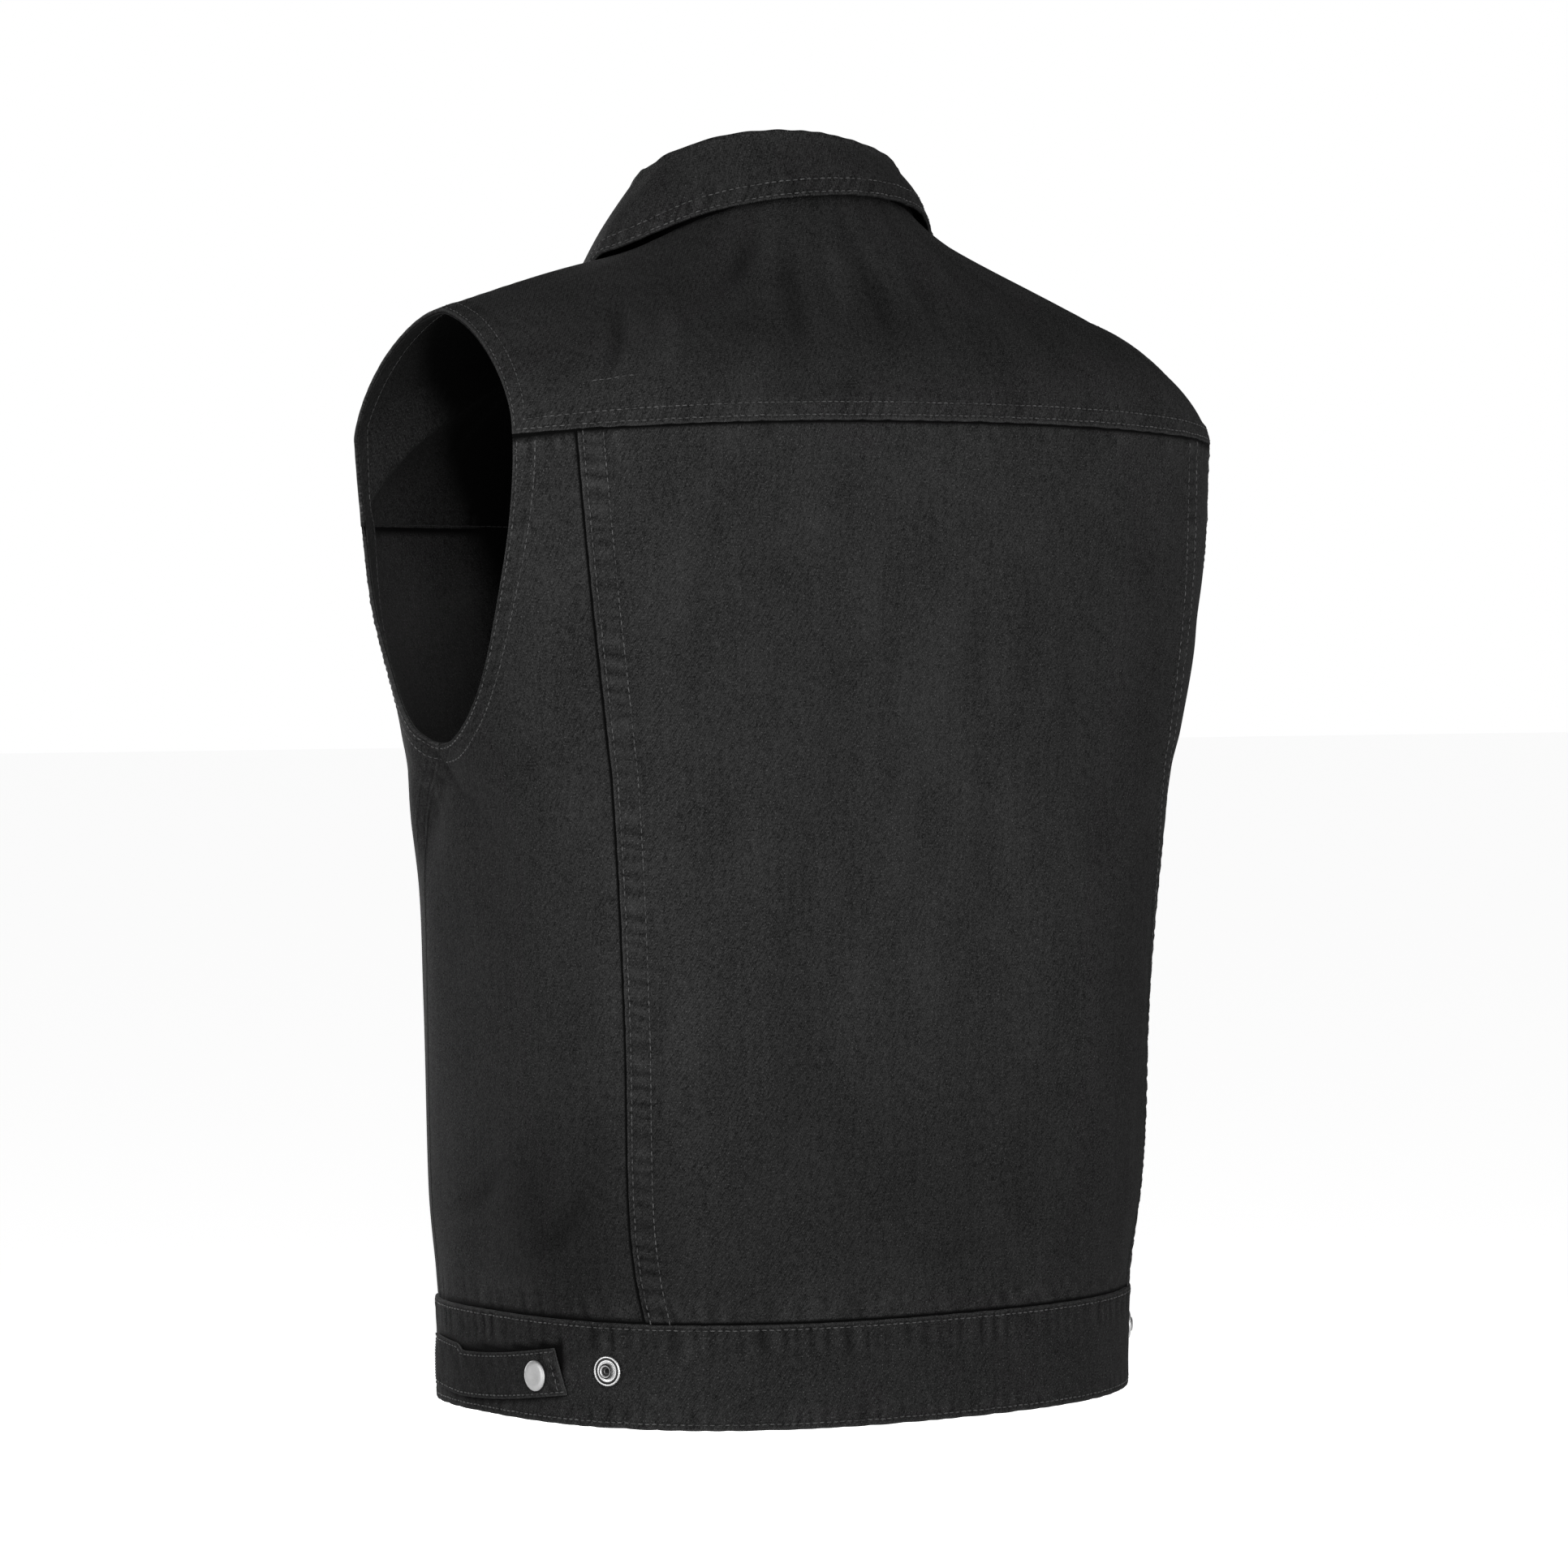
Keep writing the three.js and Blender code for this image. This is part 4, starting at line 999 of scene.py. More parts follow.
# Its light column paints shade towards each stitch's ends, where the thread goes down into the cloth.
STITCH_RINGS = table("share width rise light", (0.0, 0.5, -0.3, -1), (0.24, 0.95, 0.02, -0.4),
                     (0.5, 1.0, 0.14, 1), (0.76, 0.95, 0.02, -0.4), (1.0, 0.5, -0.3, -1))
FIRST_STITCH = 0.4
STITCH_SCATTER = 0.12
STITCH_LEAN = 0.1
STITCH_FLATNESS = 0.8
LOOK_AHEAD = 0.4


def stitch_rings(line, ways, starts, length, thread, random):
    """The rings of points round each stitch of one row."""
    s = distances(line)
    angles = 2 * np.pi * np.arange(STITCH_SIDES) / STITCH_SIDES
    rings = []
    for share, width, rise in zip(*(STITCH_RINGS[name] for name in ("share", "width", "rise"))):
        at = starts + share * length
        way = unit(interpolate(at, s, ways))
        along = interpolate(at + LOOK_AHEAD, s, line) - interpolate(at - LOOK_AHEAD, s, line)
        across = unit(np.cross(unit(along), way))
        lean = (share - 0.5) * random.normal(0, STITCH_LEAN, len(starts))[:, None]
        centre = interpolate(at, s, line) + way * rise + across * lean
        sideways = np.cos(angles)[None, :, None] * across[:, None]
        upward = np.sin(angles)[None, :, None] * STITCH_FLATNESS * way[:, None]
        rings.append(centre[:, None] + thread * width * (sideways + upward))
    return np.stack(rings, 1)


def stitch_quads(count, deep, used):
    """The quads round and at the ends of stitches of so many rings, after so many used vertices."""
    first = used + np.arange(count)[:, None, None] * deep * STITCH_SIDES
    r = np.arange(deep - 1)[None, :, None] * STITCH_SIDES
    k = np.arange(STITCH_SIDES)[None, None, :]
    following = (k + 1) % STITCH_SIDES
    above = first + r + STITCH_SIDES
    below = first + r
    around = np.stack([below + k, below + following, above + following, above + k], -1)
    quads = [around.reshape(-1, 4)]
    for ring_start, order in ((0, 1), ((deep - 1) * STITCH_SIDES, -1)):
        corner = first[:, 0, 0] + ring_start
        for places in ((0, 5, 4, 3), (0, 3, 2, 1)):
            quads.append(np.stack([corner + n for n in places][::order], 1))
    return np.concatenate(quads)


def add_stitches(name, lines, material, pitch=STITCH_PITCH, length=STITCH_LENGTH, thread=THREAD):
    """Stitches along each line of (points, normals), as one object."""
    random = np.random.default_rng(3)
    vertices, quads, used = [], [], 0
    for line, ways in lines:
        starts = np.arange(FIRST_STITCH, distances(line)[-1] - length, pitch)
        starts = starts + random.uniform(-STITCH_SCATTER, STITCH_SCATTER, len(starts))
        if not len(starts):
            continue
        rings = stitch_rings(line, ways, starts, length, thread, random)
        quads.append(stitch_quads(*rings.shape[:2], used))
        vertices.append(rings.reshape(-1, 3))
        used += rings.size // 3
    light = np.repeat(STITCH_RINGS["light"], STITCH_SIDES)
    vertices = to_metres(np.concatenate(vertices))
    wear_and_painted_light = np.tile(light, used // len(light))
    obj = make_object(name, vertices, np.concatenate(quads)[:, ::-1], material, wear_and_painted_light)


# Materials
class Material:
    """A material with its shader, and short ways to add nodes to it."""

    def __init__(self, name):
        self.material = bpy.data.materials.new(name)
        self.material.use_nodes = True
        self.tree = self.material.node_tree
        self.tree.nodes.clear()
        output = self.tree.nodes.new("ShaderNodeOutputMaterial")
        self.shader = self.tree.nodes.new("ShaderNodeBsdfPrincipled")
        self.tree.links.new(self.shader.outputs["BSDF"], output.inputs["Surface"])

    def fill(self, target, inputs):
        """Links a node's inputs to sockets, or sets them to values."""
        for name, value in inputs.items():
            if isinstance(value, bpy.types.NodeSocket):
                self.tree.links.new(value, target.inputs[name])
            else:
                target.inputs[name].default_value = value

    def node(self, kind, inputs=None, **settings):
        added = self.tree.nodes.new(kind)
        for name, value in settings.items():
            setattr(added, name, value)
        self.fill(added, inputs or {})
        return added

    def math(self, operation, first, second=0.0, clamp=False):
        inputs = {0: first, 1: second}
        return self.node("ShaderNodeMath", inputs, operation=operation, use_clamp=clamp).outputs[0]

    def noise(self, place, scale, detail):
        inputs = {"Vector": place, "Scale": scale, "Detail": detail}
        return self.node("ShaderNodeTexNoise", inputs).outputs["Fac"]

    def spread(self, value, gain, clamp=False):
        """A value from 0 to 1 as a push either way from nothing."""
        return self.math("MULTIPLY", self.math("SUBTRACT", value, 0.5), gain, clamp)

    def mapped(self, place, **changes):
        inputs = {"Vector": place, **{name.title(): value for name, value in changes.items()}}
        return self.node("ShaderNodeMapping", inputs).outputs[0]

    def mixed(self, share, first, second):
        inputs = {0: share, 6: first, 7: second}
        return self.node("ShaderNodeMix", inputs, data_type="RGBA").outputs[2]

    def ranged(self, value, spread, low, high):
        inputs = {"Value": value, "From Min": 0.5 - spread, "From Max": 0.5 + spread,
                  "To Min": low, "To Max": high}
        return self.node("ShaderNodeMapRange", inputs).outputs[0]

    def bump(self, height, strength, distance):
        inputs = {"Height": height, "Strength": strength, "Distance": distance}
        return self.node("ShaderNodeBump", inputs).outputs[0]

    def coordinate(self, kind):
        return self.node("ShaderNodeTexCoord").outputs[kind]

    def wear_and_painted_light(self):
        return self.node("ShaderNodeAttribute", attribute_name="wear_and_painted_light").outputs["Fac"]


def grey(value):
    return (value, value, value, 1)


TWILL_ANGLE = math.radians(32)
TWILL_SCALE = 31.0  # one rib a millimetre
# The black that painted shade darkens the cloth and thread towards.
PAINTED_SHADE_BLACK = 0.0012
GRAIN_GAIN = 1.7
SLUB_GAIN = 1.1
STREAK_GAIN = 0.38
CLOUD_GAIN = 0.42
RIB_GAIN = 0.24
FLECK_FROM = 0.66
FLECK_GAIN = 5.0


def denim_material(name, dark, light, worn_and_lit):
    cloth = Material(name)
    place = cloth.coordinate("UV")
    slanted = cloth.mapped(place, rotation=(0, 0, TWILL_ANGLE))
    ribs = cloth.node("ShaderNodeTexWave", {"Vector": slanted, "Scale": TWILL_SCALE, "Distortion": 2.2,
                                            "Detail": 2, "Detail Scale": 1.7},
                      wave_type="BANDS", bands_direction="X").outputs["Fac"]
    slubs = cloth.mapped(slanted, scale=(1, 0.3, 1))
    streaks = cloth.mapped(place, scale=(1, 0.22, 1))
    clouds = cloth.mapped(place, scale=(1, 0.75, 1))
    tone = 0.5
    for spot, scale, detail, gain in ((place, 105, 1, GRAIN_GAIN), (slubs, 75, 1, SLUB_GAIN),
                                      (streaks, 22, 2, STREAK_GAIN), (clouds, 2.9, 2, CLOUD_GAIN)):
        tone = cloth.math("ADD", tone, cloth.spread(cloth.noise(spot, scale, detail), gain))
    tone = cloth.math("ADD", tone, cloth.spread(ribs, RIB_GAIN), clamp=True)
    wear_and_painted_light = cloth.wear_and_painted_light()
    fleck = cloth.math("SUBTRACT", cloth.noise(place, 120, 0), FLECK_FROM)
    fleck = cloth.math("MULTIPLY", fleck, FLECK_GAIN, clamp=True)
    patchy = cloth.math("ADD", cloth.noise(place, 60, 2), 0.3)
    # Lighter towards the worn colour with wear and painted highlight, darker towards black with painted
    # shade.
    rubbed_and_lit = cloth.math("ADD", cloth.math("MULTIPLY", wear_and_painted_light, patchy, clamp=True), fleck, clamp=True)
    deep = cloth.math("MULTIPLY", wear_and_painted_light, -1.0, clamp=True)
    colour = cloth.mixed(rubbed_and_lit, cloth.mixed(tone, grey(dark), grey(light)), grey(worn_and_lit))
    fuzz = cloth.noise(place, 90, 3)
    height = cloth.math("ADD", cloth.math("MULTIPLY", ribs, 0.5), cloth.math("MULTIPLY", fuzz, 1.2))
    cloth.fill(cloth.shader, {
        "Base Color": cloth.mixed(deep, colour, grey(PAINTED_SHADE_BLACK)),
        "Normal": cloth.bump(height, 0.45, 0.0004),
        "Roughness": cloth.ranged(fuzz, 0.3, 0.8, 0.97),
        "Specular IOR Level": 0.02,
        "Sheen Weight": 0.003,
        "Sheen Roughness": 0.5,
    })
    return cloth.material


def thread_material(name, colour):
    thread = Material(name)
    place = thread.coordinate("Object")
    twist = thread.noise(place, 1900, 2)
    uneven = thread.spread(thread.noise(place, 160, 2), 2.6)
    tone = thread.math("ADD", thread.math("MULTIPLY", twist, 0.9), uneven, clamp=True)
    # Painted shade on each stitch towards its ends, where it goes into the cloth.
    sunk_end_shade = thread.math("MULTIPLY", thread.wear_and_painted_light(), -0.8, clamp=True)
    shown = thread.mixed(tone, grey(colour * 0.3), grey(colour * 1.5))
    thread.fill(thread.shader, {
        "Base Color": thread.mixed(sunk_end_shade, shown, grey(PAINTED_SHADE_BLACK)),
        "Normal": thread.bump(twist, 0.4, 0.0002),
        "Roughness": 0.7,
        "Specular IOR Level": 0.25,
    })
    return thread.material


# The colour of the darker rings and centre on the stud.
SNAP_RING_DARK = 0.004


def snap_material(name, colour, roughness):
    metal = Material(name)
    place = metal.coordinate("Object")
    marks = metal.noise(metal.mapped(place, scale=(900, 900, 5200)), 1, 3)
    spots = metal.noise(place, 420, 4)
    tone = metal.math("ADD", metal.math("MULTIPLY", marks, 0.5), metal.math("MULTIPLY", spots, 0.5))
    shown = metal.mixed(tone, grey(colour * 0.82), grey(min(1, colour * 1.1)))
    metal.fill(metal.shader, {
        "Base Color": metal.mixed(metal.wear_and_painted_light(), shown, grey(SNAP_RING_DARK)),
        "Roughness": metal.ranged(marks, 0.25, roughness - 0.07, roughness + 0.1),
        "Normal": metal.bump(marks, 0.12, 0.0001),
        "Metallic": 1,
    })
    return metal.material


DENIM = denim_material("denim_twill", 0.0045, 0.0235, 0.046)
# A darker copy of the denim for the band and tabs: painted shade low on the vest.
SHADED_BAND_DENIM = denim_material("denim_band_shaded", 0.004, 0.0195, 0.046)
THREAD_BLACK = thread_material("thread_black", 0.036)
# A darker copy of the black thread for the row inside the vest: painted shade.
SHADED_THREAD_INNER = thread_material("thread_inner_shaded", 0.006)
METAL = snap_material("snap_satin", 0.27, 0.5)
STUD_METAL = snap_material("snap_stud", 0.33, 0.36)
made = {}  # the pieces of cloth by name


SHEET_LEAST = 0.0101  # metres


def add_cloth(name, piece, material=DENIM, groove=EDGE_GROOVE):
    """One piece of cloth, in place of the solid that has its name."""
    obj = shell("cloth_" + name, piece, material, groove)
    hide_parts(name)
    across, up = (max(v * 0.001, SHEET_LEAST) for v in piece.size)
    area = min(piece.area() * 1e-6, across * up)
    made[name] = piece


# Creases that the photograph shows, and ones like them on the sides that it hides
CREASES = crease_lines(
    on_body,
    (96, 352, 92, 330, 86, 312, 6, -1.6),
    (101, 344, 98, 322, 94, 300, 5, 1.1),
    (66, 120, 72, 96, 80, 84, 9, -1.1),
    (84, 132, 94, 110, 104, 98, 8, -1.2),
    (74, 72, 86, 66, 98, 70, 5, 0.8),
    (-88, 352, -80, 336, -70, 326, 5, -1.4),
    (-92, 330, -84, 312, -76, 296, 6, -1.3),
    (-96, 302, -90, 282, -84, 262, 7, 1.0),
    (-70, 440, -74, 424, -80, 412, 5, -1.2),
    (-68, 470, -71, 455, -76, 446, 4, 0.8),
    (10, 470, 13, 380, 12, 300, 10, -0.7),
    (-8, 440, -11, 340, -10, 240, 9, -0.6),
    (30, 300, 34, 220, 33, 140, 12, -0.7),
    (-28, 480, -31, 390, -30, 310, 9, -0.6),
    (44, 470, 47, 420, 47, 350, 8, -0.7),
    (52, 250, 54, 180, 54, 110, 6, -0.6),
    (-48, 230, -50, 150, -49, 90, 10, -0.7),
    (20, 92, 4, 84, -14, 90, 8, -0.6),
    (128, 330, 138, 318, 150, 316, 8, -1.2),
    (126, 300, 136, 270, 148, 250, 9, -1.0),
    (150, 200, 158, 150, 162, 90, 9, -0.9),
    (124, 150, 134, 116, 146, 92, 9, -1.0),
    (-124, 336, -136, 322, -150, 322, 8, -1.1),
    (-120, 290, -132, 262, -146, 238, 8, -1.1),
    (-152, 220, -158, 160, -160, 96, 10, -0.8),
    (-122, 142, -134, 108, -148, 88, 8, -1.0),
    (136, 430, 142, 400, 150, 372, 9, -0.9),
    (-134, 424, -144, 396, -152, 360, 9, -0.9),
) + crease_lines(
    on_back_yoke,
    (0.6, 0.16, 0.62, 0.34, 0.72, 0.55, 6, -1.9),
    (0.52, 0.2, 0.55, 0.42, 0.6, 0.6, 6, 1.3),
    (0.46, 0.62, 0.42, 0.78, 0.38, 0.9, 8, -1.7),
    (0.3, 0.34, 0.3, 0.6, 0.28, 0.82, 9, -1.5),
    (0.16, 0.42, 0.15, 0.68, 0.13, 0.88, 8, 1.2),
    (0.05, 0.3, 0.04, 0.6, 0.03, 0.84, 9, -1.4),
    (-0.1, 0.3, -0.12, 0.55, -0.12, 0.8, 8, -1.2),
    (-0.28, 0.4, -0.3, 0.62, -0.32, 0.8, 9, -0.8),
    (-0.58, 0.14, -0.62, 0.36, -0.72, 0.56, 7, -1.1),
    (-0.46, 0.56, -0.42, 0.72, -0.36, 0.86, 8, -0.9),
    (0.5, 0.1, 0.2, 0.14, -0.1, 0.11, 7, -0.45),
) + crease_lines(
    on_surface(front_yoke(1)),
    (0.5, 0.25, 0.56, 0.5, 0.66, 0.7, 8, -1.2),
    (0.25, 0.2, 0.28, 0.5, 0.3, 0.75, 9, -0.9),
) + crease_lines(
    on_surface(front_yoke(-1)),
    (0.46, 0.2, 0.52, 0.46, 0.64, 0.66, 8, -1.2),
    (0.2, 0.25, 0.24, 0.5, 0.26, 0.78, 9, -0.8),
)
BAND_CREASES = crease_lines(
    on_body,
    (64, 50, 68, 38, 74, 28, 3.4, -0.9),
    (52, 50, 57, 40, 60, 28, 3.6, -0.9),
    (45, 48, 50, 36, 52, 24, 3.2, 0.8),
    (36, 50, 42, 40, 48, 34, 3.6, -0.8),
    (28, 20, 34, 14, 42, 12, 4, -0.6),
    (70, 12, 62, 9, 52, 10, 3.5, -0.7),
    (92, 46, 96, 42, 102, 42, 3.2, -0.8),
    (-50, 44, -56, 30, -60, 18, 4, -0.9),
    (-58, 40, -63, 28, -66, 14, 3.6, 0.7),
    (-18, 46, -24, 32, -34, 26, 5, -0.6),
    (8, 44, 0, 32, -6, 20, 5, -0.6),
    (-92, 42, -98, 30, -104, 22, 4.5, -0.5),
    (128, 44, 134, 30, 142, 22, 4.5, -0.45),
    (-126, 42, -134, 30, -140, 18, 4.5, -0.45),
    (154, 40, 160, 28, 164, 16, 4.5, -0.4),
)

# Lower panels
SIDES = (("left", 1), ("right", -1))
COLUMN_STEP = 6.0
CENTRE_STEP = 1.5
ROW_STEP = 3.0


def panel_rows(top, step=ROW_STEP):
    length = top - PANEL_FOOT
    heights = PANEL_FOOT + length * stations(length, round(length / step))[0]
    return share_of_height(heights, top)


def panel_grid(surface, rows, count, start, end):
    probe = surface(np.linspace(0, 1, 21)[:, None], rows[None, :])
    widths = np.linalg.norm(np.diff(probe, axis=0), axis=-1).sum(0)
    across = stations(widths, count, start, end).T
    return surface(across, np.broadcast_to(rows[None, :], across.shape))


BACK_ROWS = panel_rows(PRINCESS_TOP, CENTRE_STEP)
SIDE_ROWS = panel_rows(PRINCESS_TOP)
FRONT_ROWS = panel_rows(FRONT_TOP)
CENTRE_COLUMNS = round(375 / COLUMN_STEP)
SIDE_COLUMNS = 34
PANEL_COLUMNS = 44
PRINCESS_ROWS = (2.7, 12.8)
PRINCESS_LAP = 14.2
LAP_SEAMS = [Seam(edge, PRINCESS_ROWS, lap=LAP, puckers=0.46, seed=seed, sway=0.4, width=PRINCESS_LAP)
             for edge, seed in (("a0", 1.0), ("a1", 2.3))]
FOOT = Seam("b0", puckers=0.42, reach=17, seed=4.2, shadow=1.2, shadow_width=3.0)
HEAD = Seam("b1", puckers=0.26, reach=14, seed=5.1, shadow=1.8, shadow_width=3.3)
ARMHOLE_ROWS = (1.9, 9.0)
UNDERARM = 0.53

grid = panel_grid(back_centre, BACK_ROWS, CENTRE_COLUMNS, SEAM_STOPS, SEAM_STOPS)
add_cloth("back_centre", Piece(grid, seams=LAP_SEAMS + [FOOT, HEAD], creases=CREASES))
for side, hand in SIDES:
    seed = 6.0 if hand > 0 else 8.5
    shared = [Seam("a1", ARMHOLE_ROWS, lap=0.35, puckers=0.34, part=(UNDERARM, 1), seed=seed + 1),
              Seam("a1", puckers=0.22, reach=9, part=(0, UNDERARM), seed=seed + 2, shadow=0.5), FOOT, HEAD]
    seams = [Seam("a0", puckers=0.2, reach=14, seed=seed, shadow=1.5)] + shared
    grid = panel_grid(back_side(hand), SIDE_ROWS, SIDE_COLUMNS, SEAM_STOPS[:8], SEAM_STOPS)
    add_cloth("back_side_" + side, Piece(grid, seams=seams, creases=CREASES, grain="edge"))
    seams = [Seam("a0", puckers=0.3, reach=12, seed=seed + 3, shadow=0.7)] + shared
    grid = panel_grid(front_panel(hand), FRONT_ROWS, PANEL_COLUMNS, EDGE_STOPS, SEAM_STOPS)
    add_cloth("front_panel_" + side, Piece(grid, seams=seams, creases=CREASES, grain="edge"))

# Yokes
YOKE_ROWS = (2.7, 9.0)
YOKE_STEP = 1.9
BACK_YOKE_LEVELS = 34
FRONT_YOKE_LEVELS = 30
BACK_PART = ((1 - CORNER_SHARE) / 2, (1 + CORNER_SHARE) / 2)
FRONT_CORNER = (CORNER_SHARE - FRONT_START) / (1 - FRONT_START)


def yoke_columns(*parts):
    """Columns over stretches of an edge, each two shares and a length, with close ones at both ends."""
    stretches = [np.linspace(low, high, max(3, round(length / YOKE_STEP)), endpoint=False)
                 for low, high, length in parts]
    columns = np.concatenate(stretches + [[parts[-1][1]]])
    near = np.array(EDGE_STOPS[1:4])
    start = columns[0] + near * (columns[1] - columns[0]) / YOKE_STEP
    stop = columns[-1] - near * (columns[-1] - columns[-2]) / YOKE_STEP
    return np.unique(np.concatenate([columns, start, stop]))


def yoke_grid(surface, columns, count):
    probe = surface(columns[:, None], np.linspace(0, 1, 25)[None, :])
    lengths = np.linalg.norm(np.diff(probe, axis=1), axis=-1).sum(1)
    up = stations(lengths, count, SEAM_STOPS, EDGE_STOPS)
    return surface(np.broadcast_to(columns[:, None], up.shape), up)


def part_of_edge(points, columns, low, high):
    """Where a stretch of columns lies along the grid's lower edge, as shares of its length."""
    s = lengths_along(points[:, :1], 0)[:, 0]
    return tuple(np.interp((low, high), columns, s / s[-1]))


# Painted shade on the rim of the yoke's lower edge, where it laps the panels.
def yoke_seam(part, seed, sway):
    return Seam("b0", YOKE_ROWS, lap=LAP, puckers=0.3, part=part, seed=seed, sway=sway, rim=-0.8)


def armhole_seam(part, seed):
    return Seam("b0", ARMHOLE_ROWS, lap=0.45, puckers=0.26, part=part, seed=seed)


BACK_COLUMNS = yoke_columns((0, BACK_PART[0], 112), (*BACK_PART, 470), (BACK_PART[1], 1, 112))
FRONT_COLUMNS = yoke_columns((0, FRONT_CORNER, 190), (FRONT_CORNER, 1, 130))
grid = yoke_grid(back_yoke, BACK_COLUMNS, BACK_YOKE_LEVELS)
BACK_SEAM_PART = part_of_edge(grid, BACK_COLUMNS, *BACK_PART)
BACK_ENDS = {"left": (0, BACK_SEAM_PART[0]), "right": (BACK_SEAM_PART[1], 1)}
seams = [yoke_seam(BACK_SEAM_PART, 3.1, 0.7), armhole_seam(BACK_ENDS["left"], 7.7),
         armhole_seam(BACK_ENDS["right"], 9.7)]
add_cloth("back_yoke", Piece(grid, seams=seams, creases=CREASES, grain="shoulder"))
for side, hand in SIDES:
    grid = yoke_grid(front_yoke(hand), FRONT_COLUMNS, FRONT_YOKE_LEVELS)
    corner = part_of_edge(grid, FRONT_COLUMNS, FRONT_CORNER, 1)[0]
    seams = [yoke_seam((0, corner), 4.4 + hand, 0.6), armhole_seam((corner, 1), 5.9 + hand),
             Seam("a1", puckers=0.2, reach=10, seed=2.2 + hand),
             Seam("a0", puckers=0.25, reach=10, seed=1.2 + hand)]
    add_cloth("front_yoke_" + side, Piece(grid, seams=seams, creases=CREASES, grain="shoulder"))

# Plackets
PLACKET_ROW = 2.4
PLACKET_UNDER = PLACKET_THICKNESS + 0.3
PLACKET_STOPS = (0, 0.12, 0.35, 0.8, 1.4, 2.0, 2.4, 2.9, 3.8)
placket_across = stations(36, 7, PLACKET_STOPS, PLACKET_STOPS)[0]
placket_up = stations(560, 190)[0]
grid = on_grid(placket, placket_across, placket_up)
for side, sink in (("left", 0), ("right", PLACKET_UNDER)):
    seams = [Seam(edge, (PLACKET_ROW,), lap=0.25, puckers=0.24, reach=9, seed=seed + sink, width=4.5)
             for edge, seed in (("a0", 1.9), ("a1", 3.9))]
    piece = Piece(grid, PLACKET_THICKNESS, seams=seams, lift=-sink, undulate=0.6)
    add_cloth("placket_" + side, piece)

# Waistband
BAND_ROWS = {"b1": 2.4, "b0": 3.0}
BAND_STEP = 1.7
BAND_STOPS = (0, 0.12, 0.35, 0.8, 1.4, 2.0, 2.5, 3.0, 3.6, 4.6, 6.2, 8.2)
BAND_UP = stations(BAND_HEIGHT, 13, BAND_STOPS, BAND_STOPS)[0]
BAND_UNDER = BAND_THICKNESS + 0.3
UNDER_FROM = 0.62
UNDER_TO = 0.8
TAB_SHADOW = 0.85
TAB_SHADOW_WIDTH = 1.9


def band_lift(shares):
    return BAND_PROUD - 0.25 * (1 - smooth(np.minimum(shares, 1 - shares) * BAND_HEIGHT, 0, 3))


def tab_shadow(points):
    """How much darker the band is close round a tab."""
    turn = np.abs(np.arctan2(points[..., 0], points[..., 1]))
    free_end = math.radians((TAB_FREE_BOTTOM + TAB_FREE_TOP) / 2)
    fixed_end = math.radians(TAB_FIXED)
    low = tab_low(np.clip((turn - free_end) / (fixed_end - free_end), 0, 1))
    beyond = (np.maximum(free_end - turn, 0) + np.maximum(turn - fixed_end, 0)) * HEM_HALF_WIDTH
    below = np.maximum(low - points[..., 2], 0)
    above = np.maximum(points[..., 2] - low - TAB_FIXED_HEIGHT, 0)
    distance = np.hypot(beyond, below + 2 * above)
    return TAB_SHADOW * np.exp(-((distance / TAB_SHADOW_WIDTH) ** 2))


def band_piece(surface, length, seed, under):
    """A piece of the band, its far end sunk under another piece."""
    across = stations(length, round(length / BAND_STEP))[0]
    grid_a, grid_b = np.broadcast_arrays(across[:, None], BAND_UP[None, :])
    lift = band_lift(grid_b) - under * smooth(grid_a, UNDER_FROM, UNDER_TO)
    top, foot = ((BAND_ROWS[edge],) for edge in ("b1", "b0"))
    seams = [Seam("b1", top, lap=0.3, puckers=0.5, reach=19, seed=seed, sway=0.3, width=3.4, rim=0.7),
             Seam("b0", foot, lap=0.2, puckers=0.34, reach=13, seed=seed + 1, sway=0.5, width=4.4, rim=0.3),
             Seam("a0", puckers=0.2, reach=6, seed=seed + 2),
             Seam("a1", puckers=0.2, reach=6, seed=seed + 3)]
    piece = Piece(surface(grid_a, grid_b), BAND_THICKNESS, seams=seams, creases=BAND_CREASES, lift=lift,
                  undulate=0.5)
    piece.wear_and_painted_light = np.clip(piece.wear_and_painted_light - tab_shadow(piece.points), -1, 1)
    return piece


for name, surface, length, seed, under in (
        ("waistband_back", band_back, 610, 2.0, 0),
        ("waistband_front_left", band_front(1), 262, 5.0, 0),
        ("waistband_front_right", band_front(-1), 262, 8.0, BAND_UNDER)):
    add_cloth(name, band_piece(surface, length, seed, under), material=SHADED_BAND_DENIM)

# Armhole facings
FACING_THICKNESS = 0.8
FACING_AWAY = 0.15
FACING_ROW = 2.2
FACING_STOPS = (0, 0.12, 0.35, 0.8, 1.6, 2.4)
FACING_ACROSS = stations(FACING_WIDTH, 5, EDGE_STOPS[:4], FACING_STOPS)[0][None, :]


def facing_strip(surface, shares, on_panel):
    """A strip inside the armhole's edge of one surface: its points and the normals there."""
    along = shares[:, None]

    def place(away):
        return np.broadcast_arrays(*((1 - away, along) if on_panel else (along, away)))

    ends = [surface(*place(0.0 * along + end)) for end in (0, 1)]
    width = np.linalg.norm(ends[0] - ends[1], axis=-1)
    a, b = place(FACING_ACROSS * FACING_WIDTH / width)
    return surface(a, b), normal_at(surface, a, b)


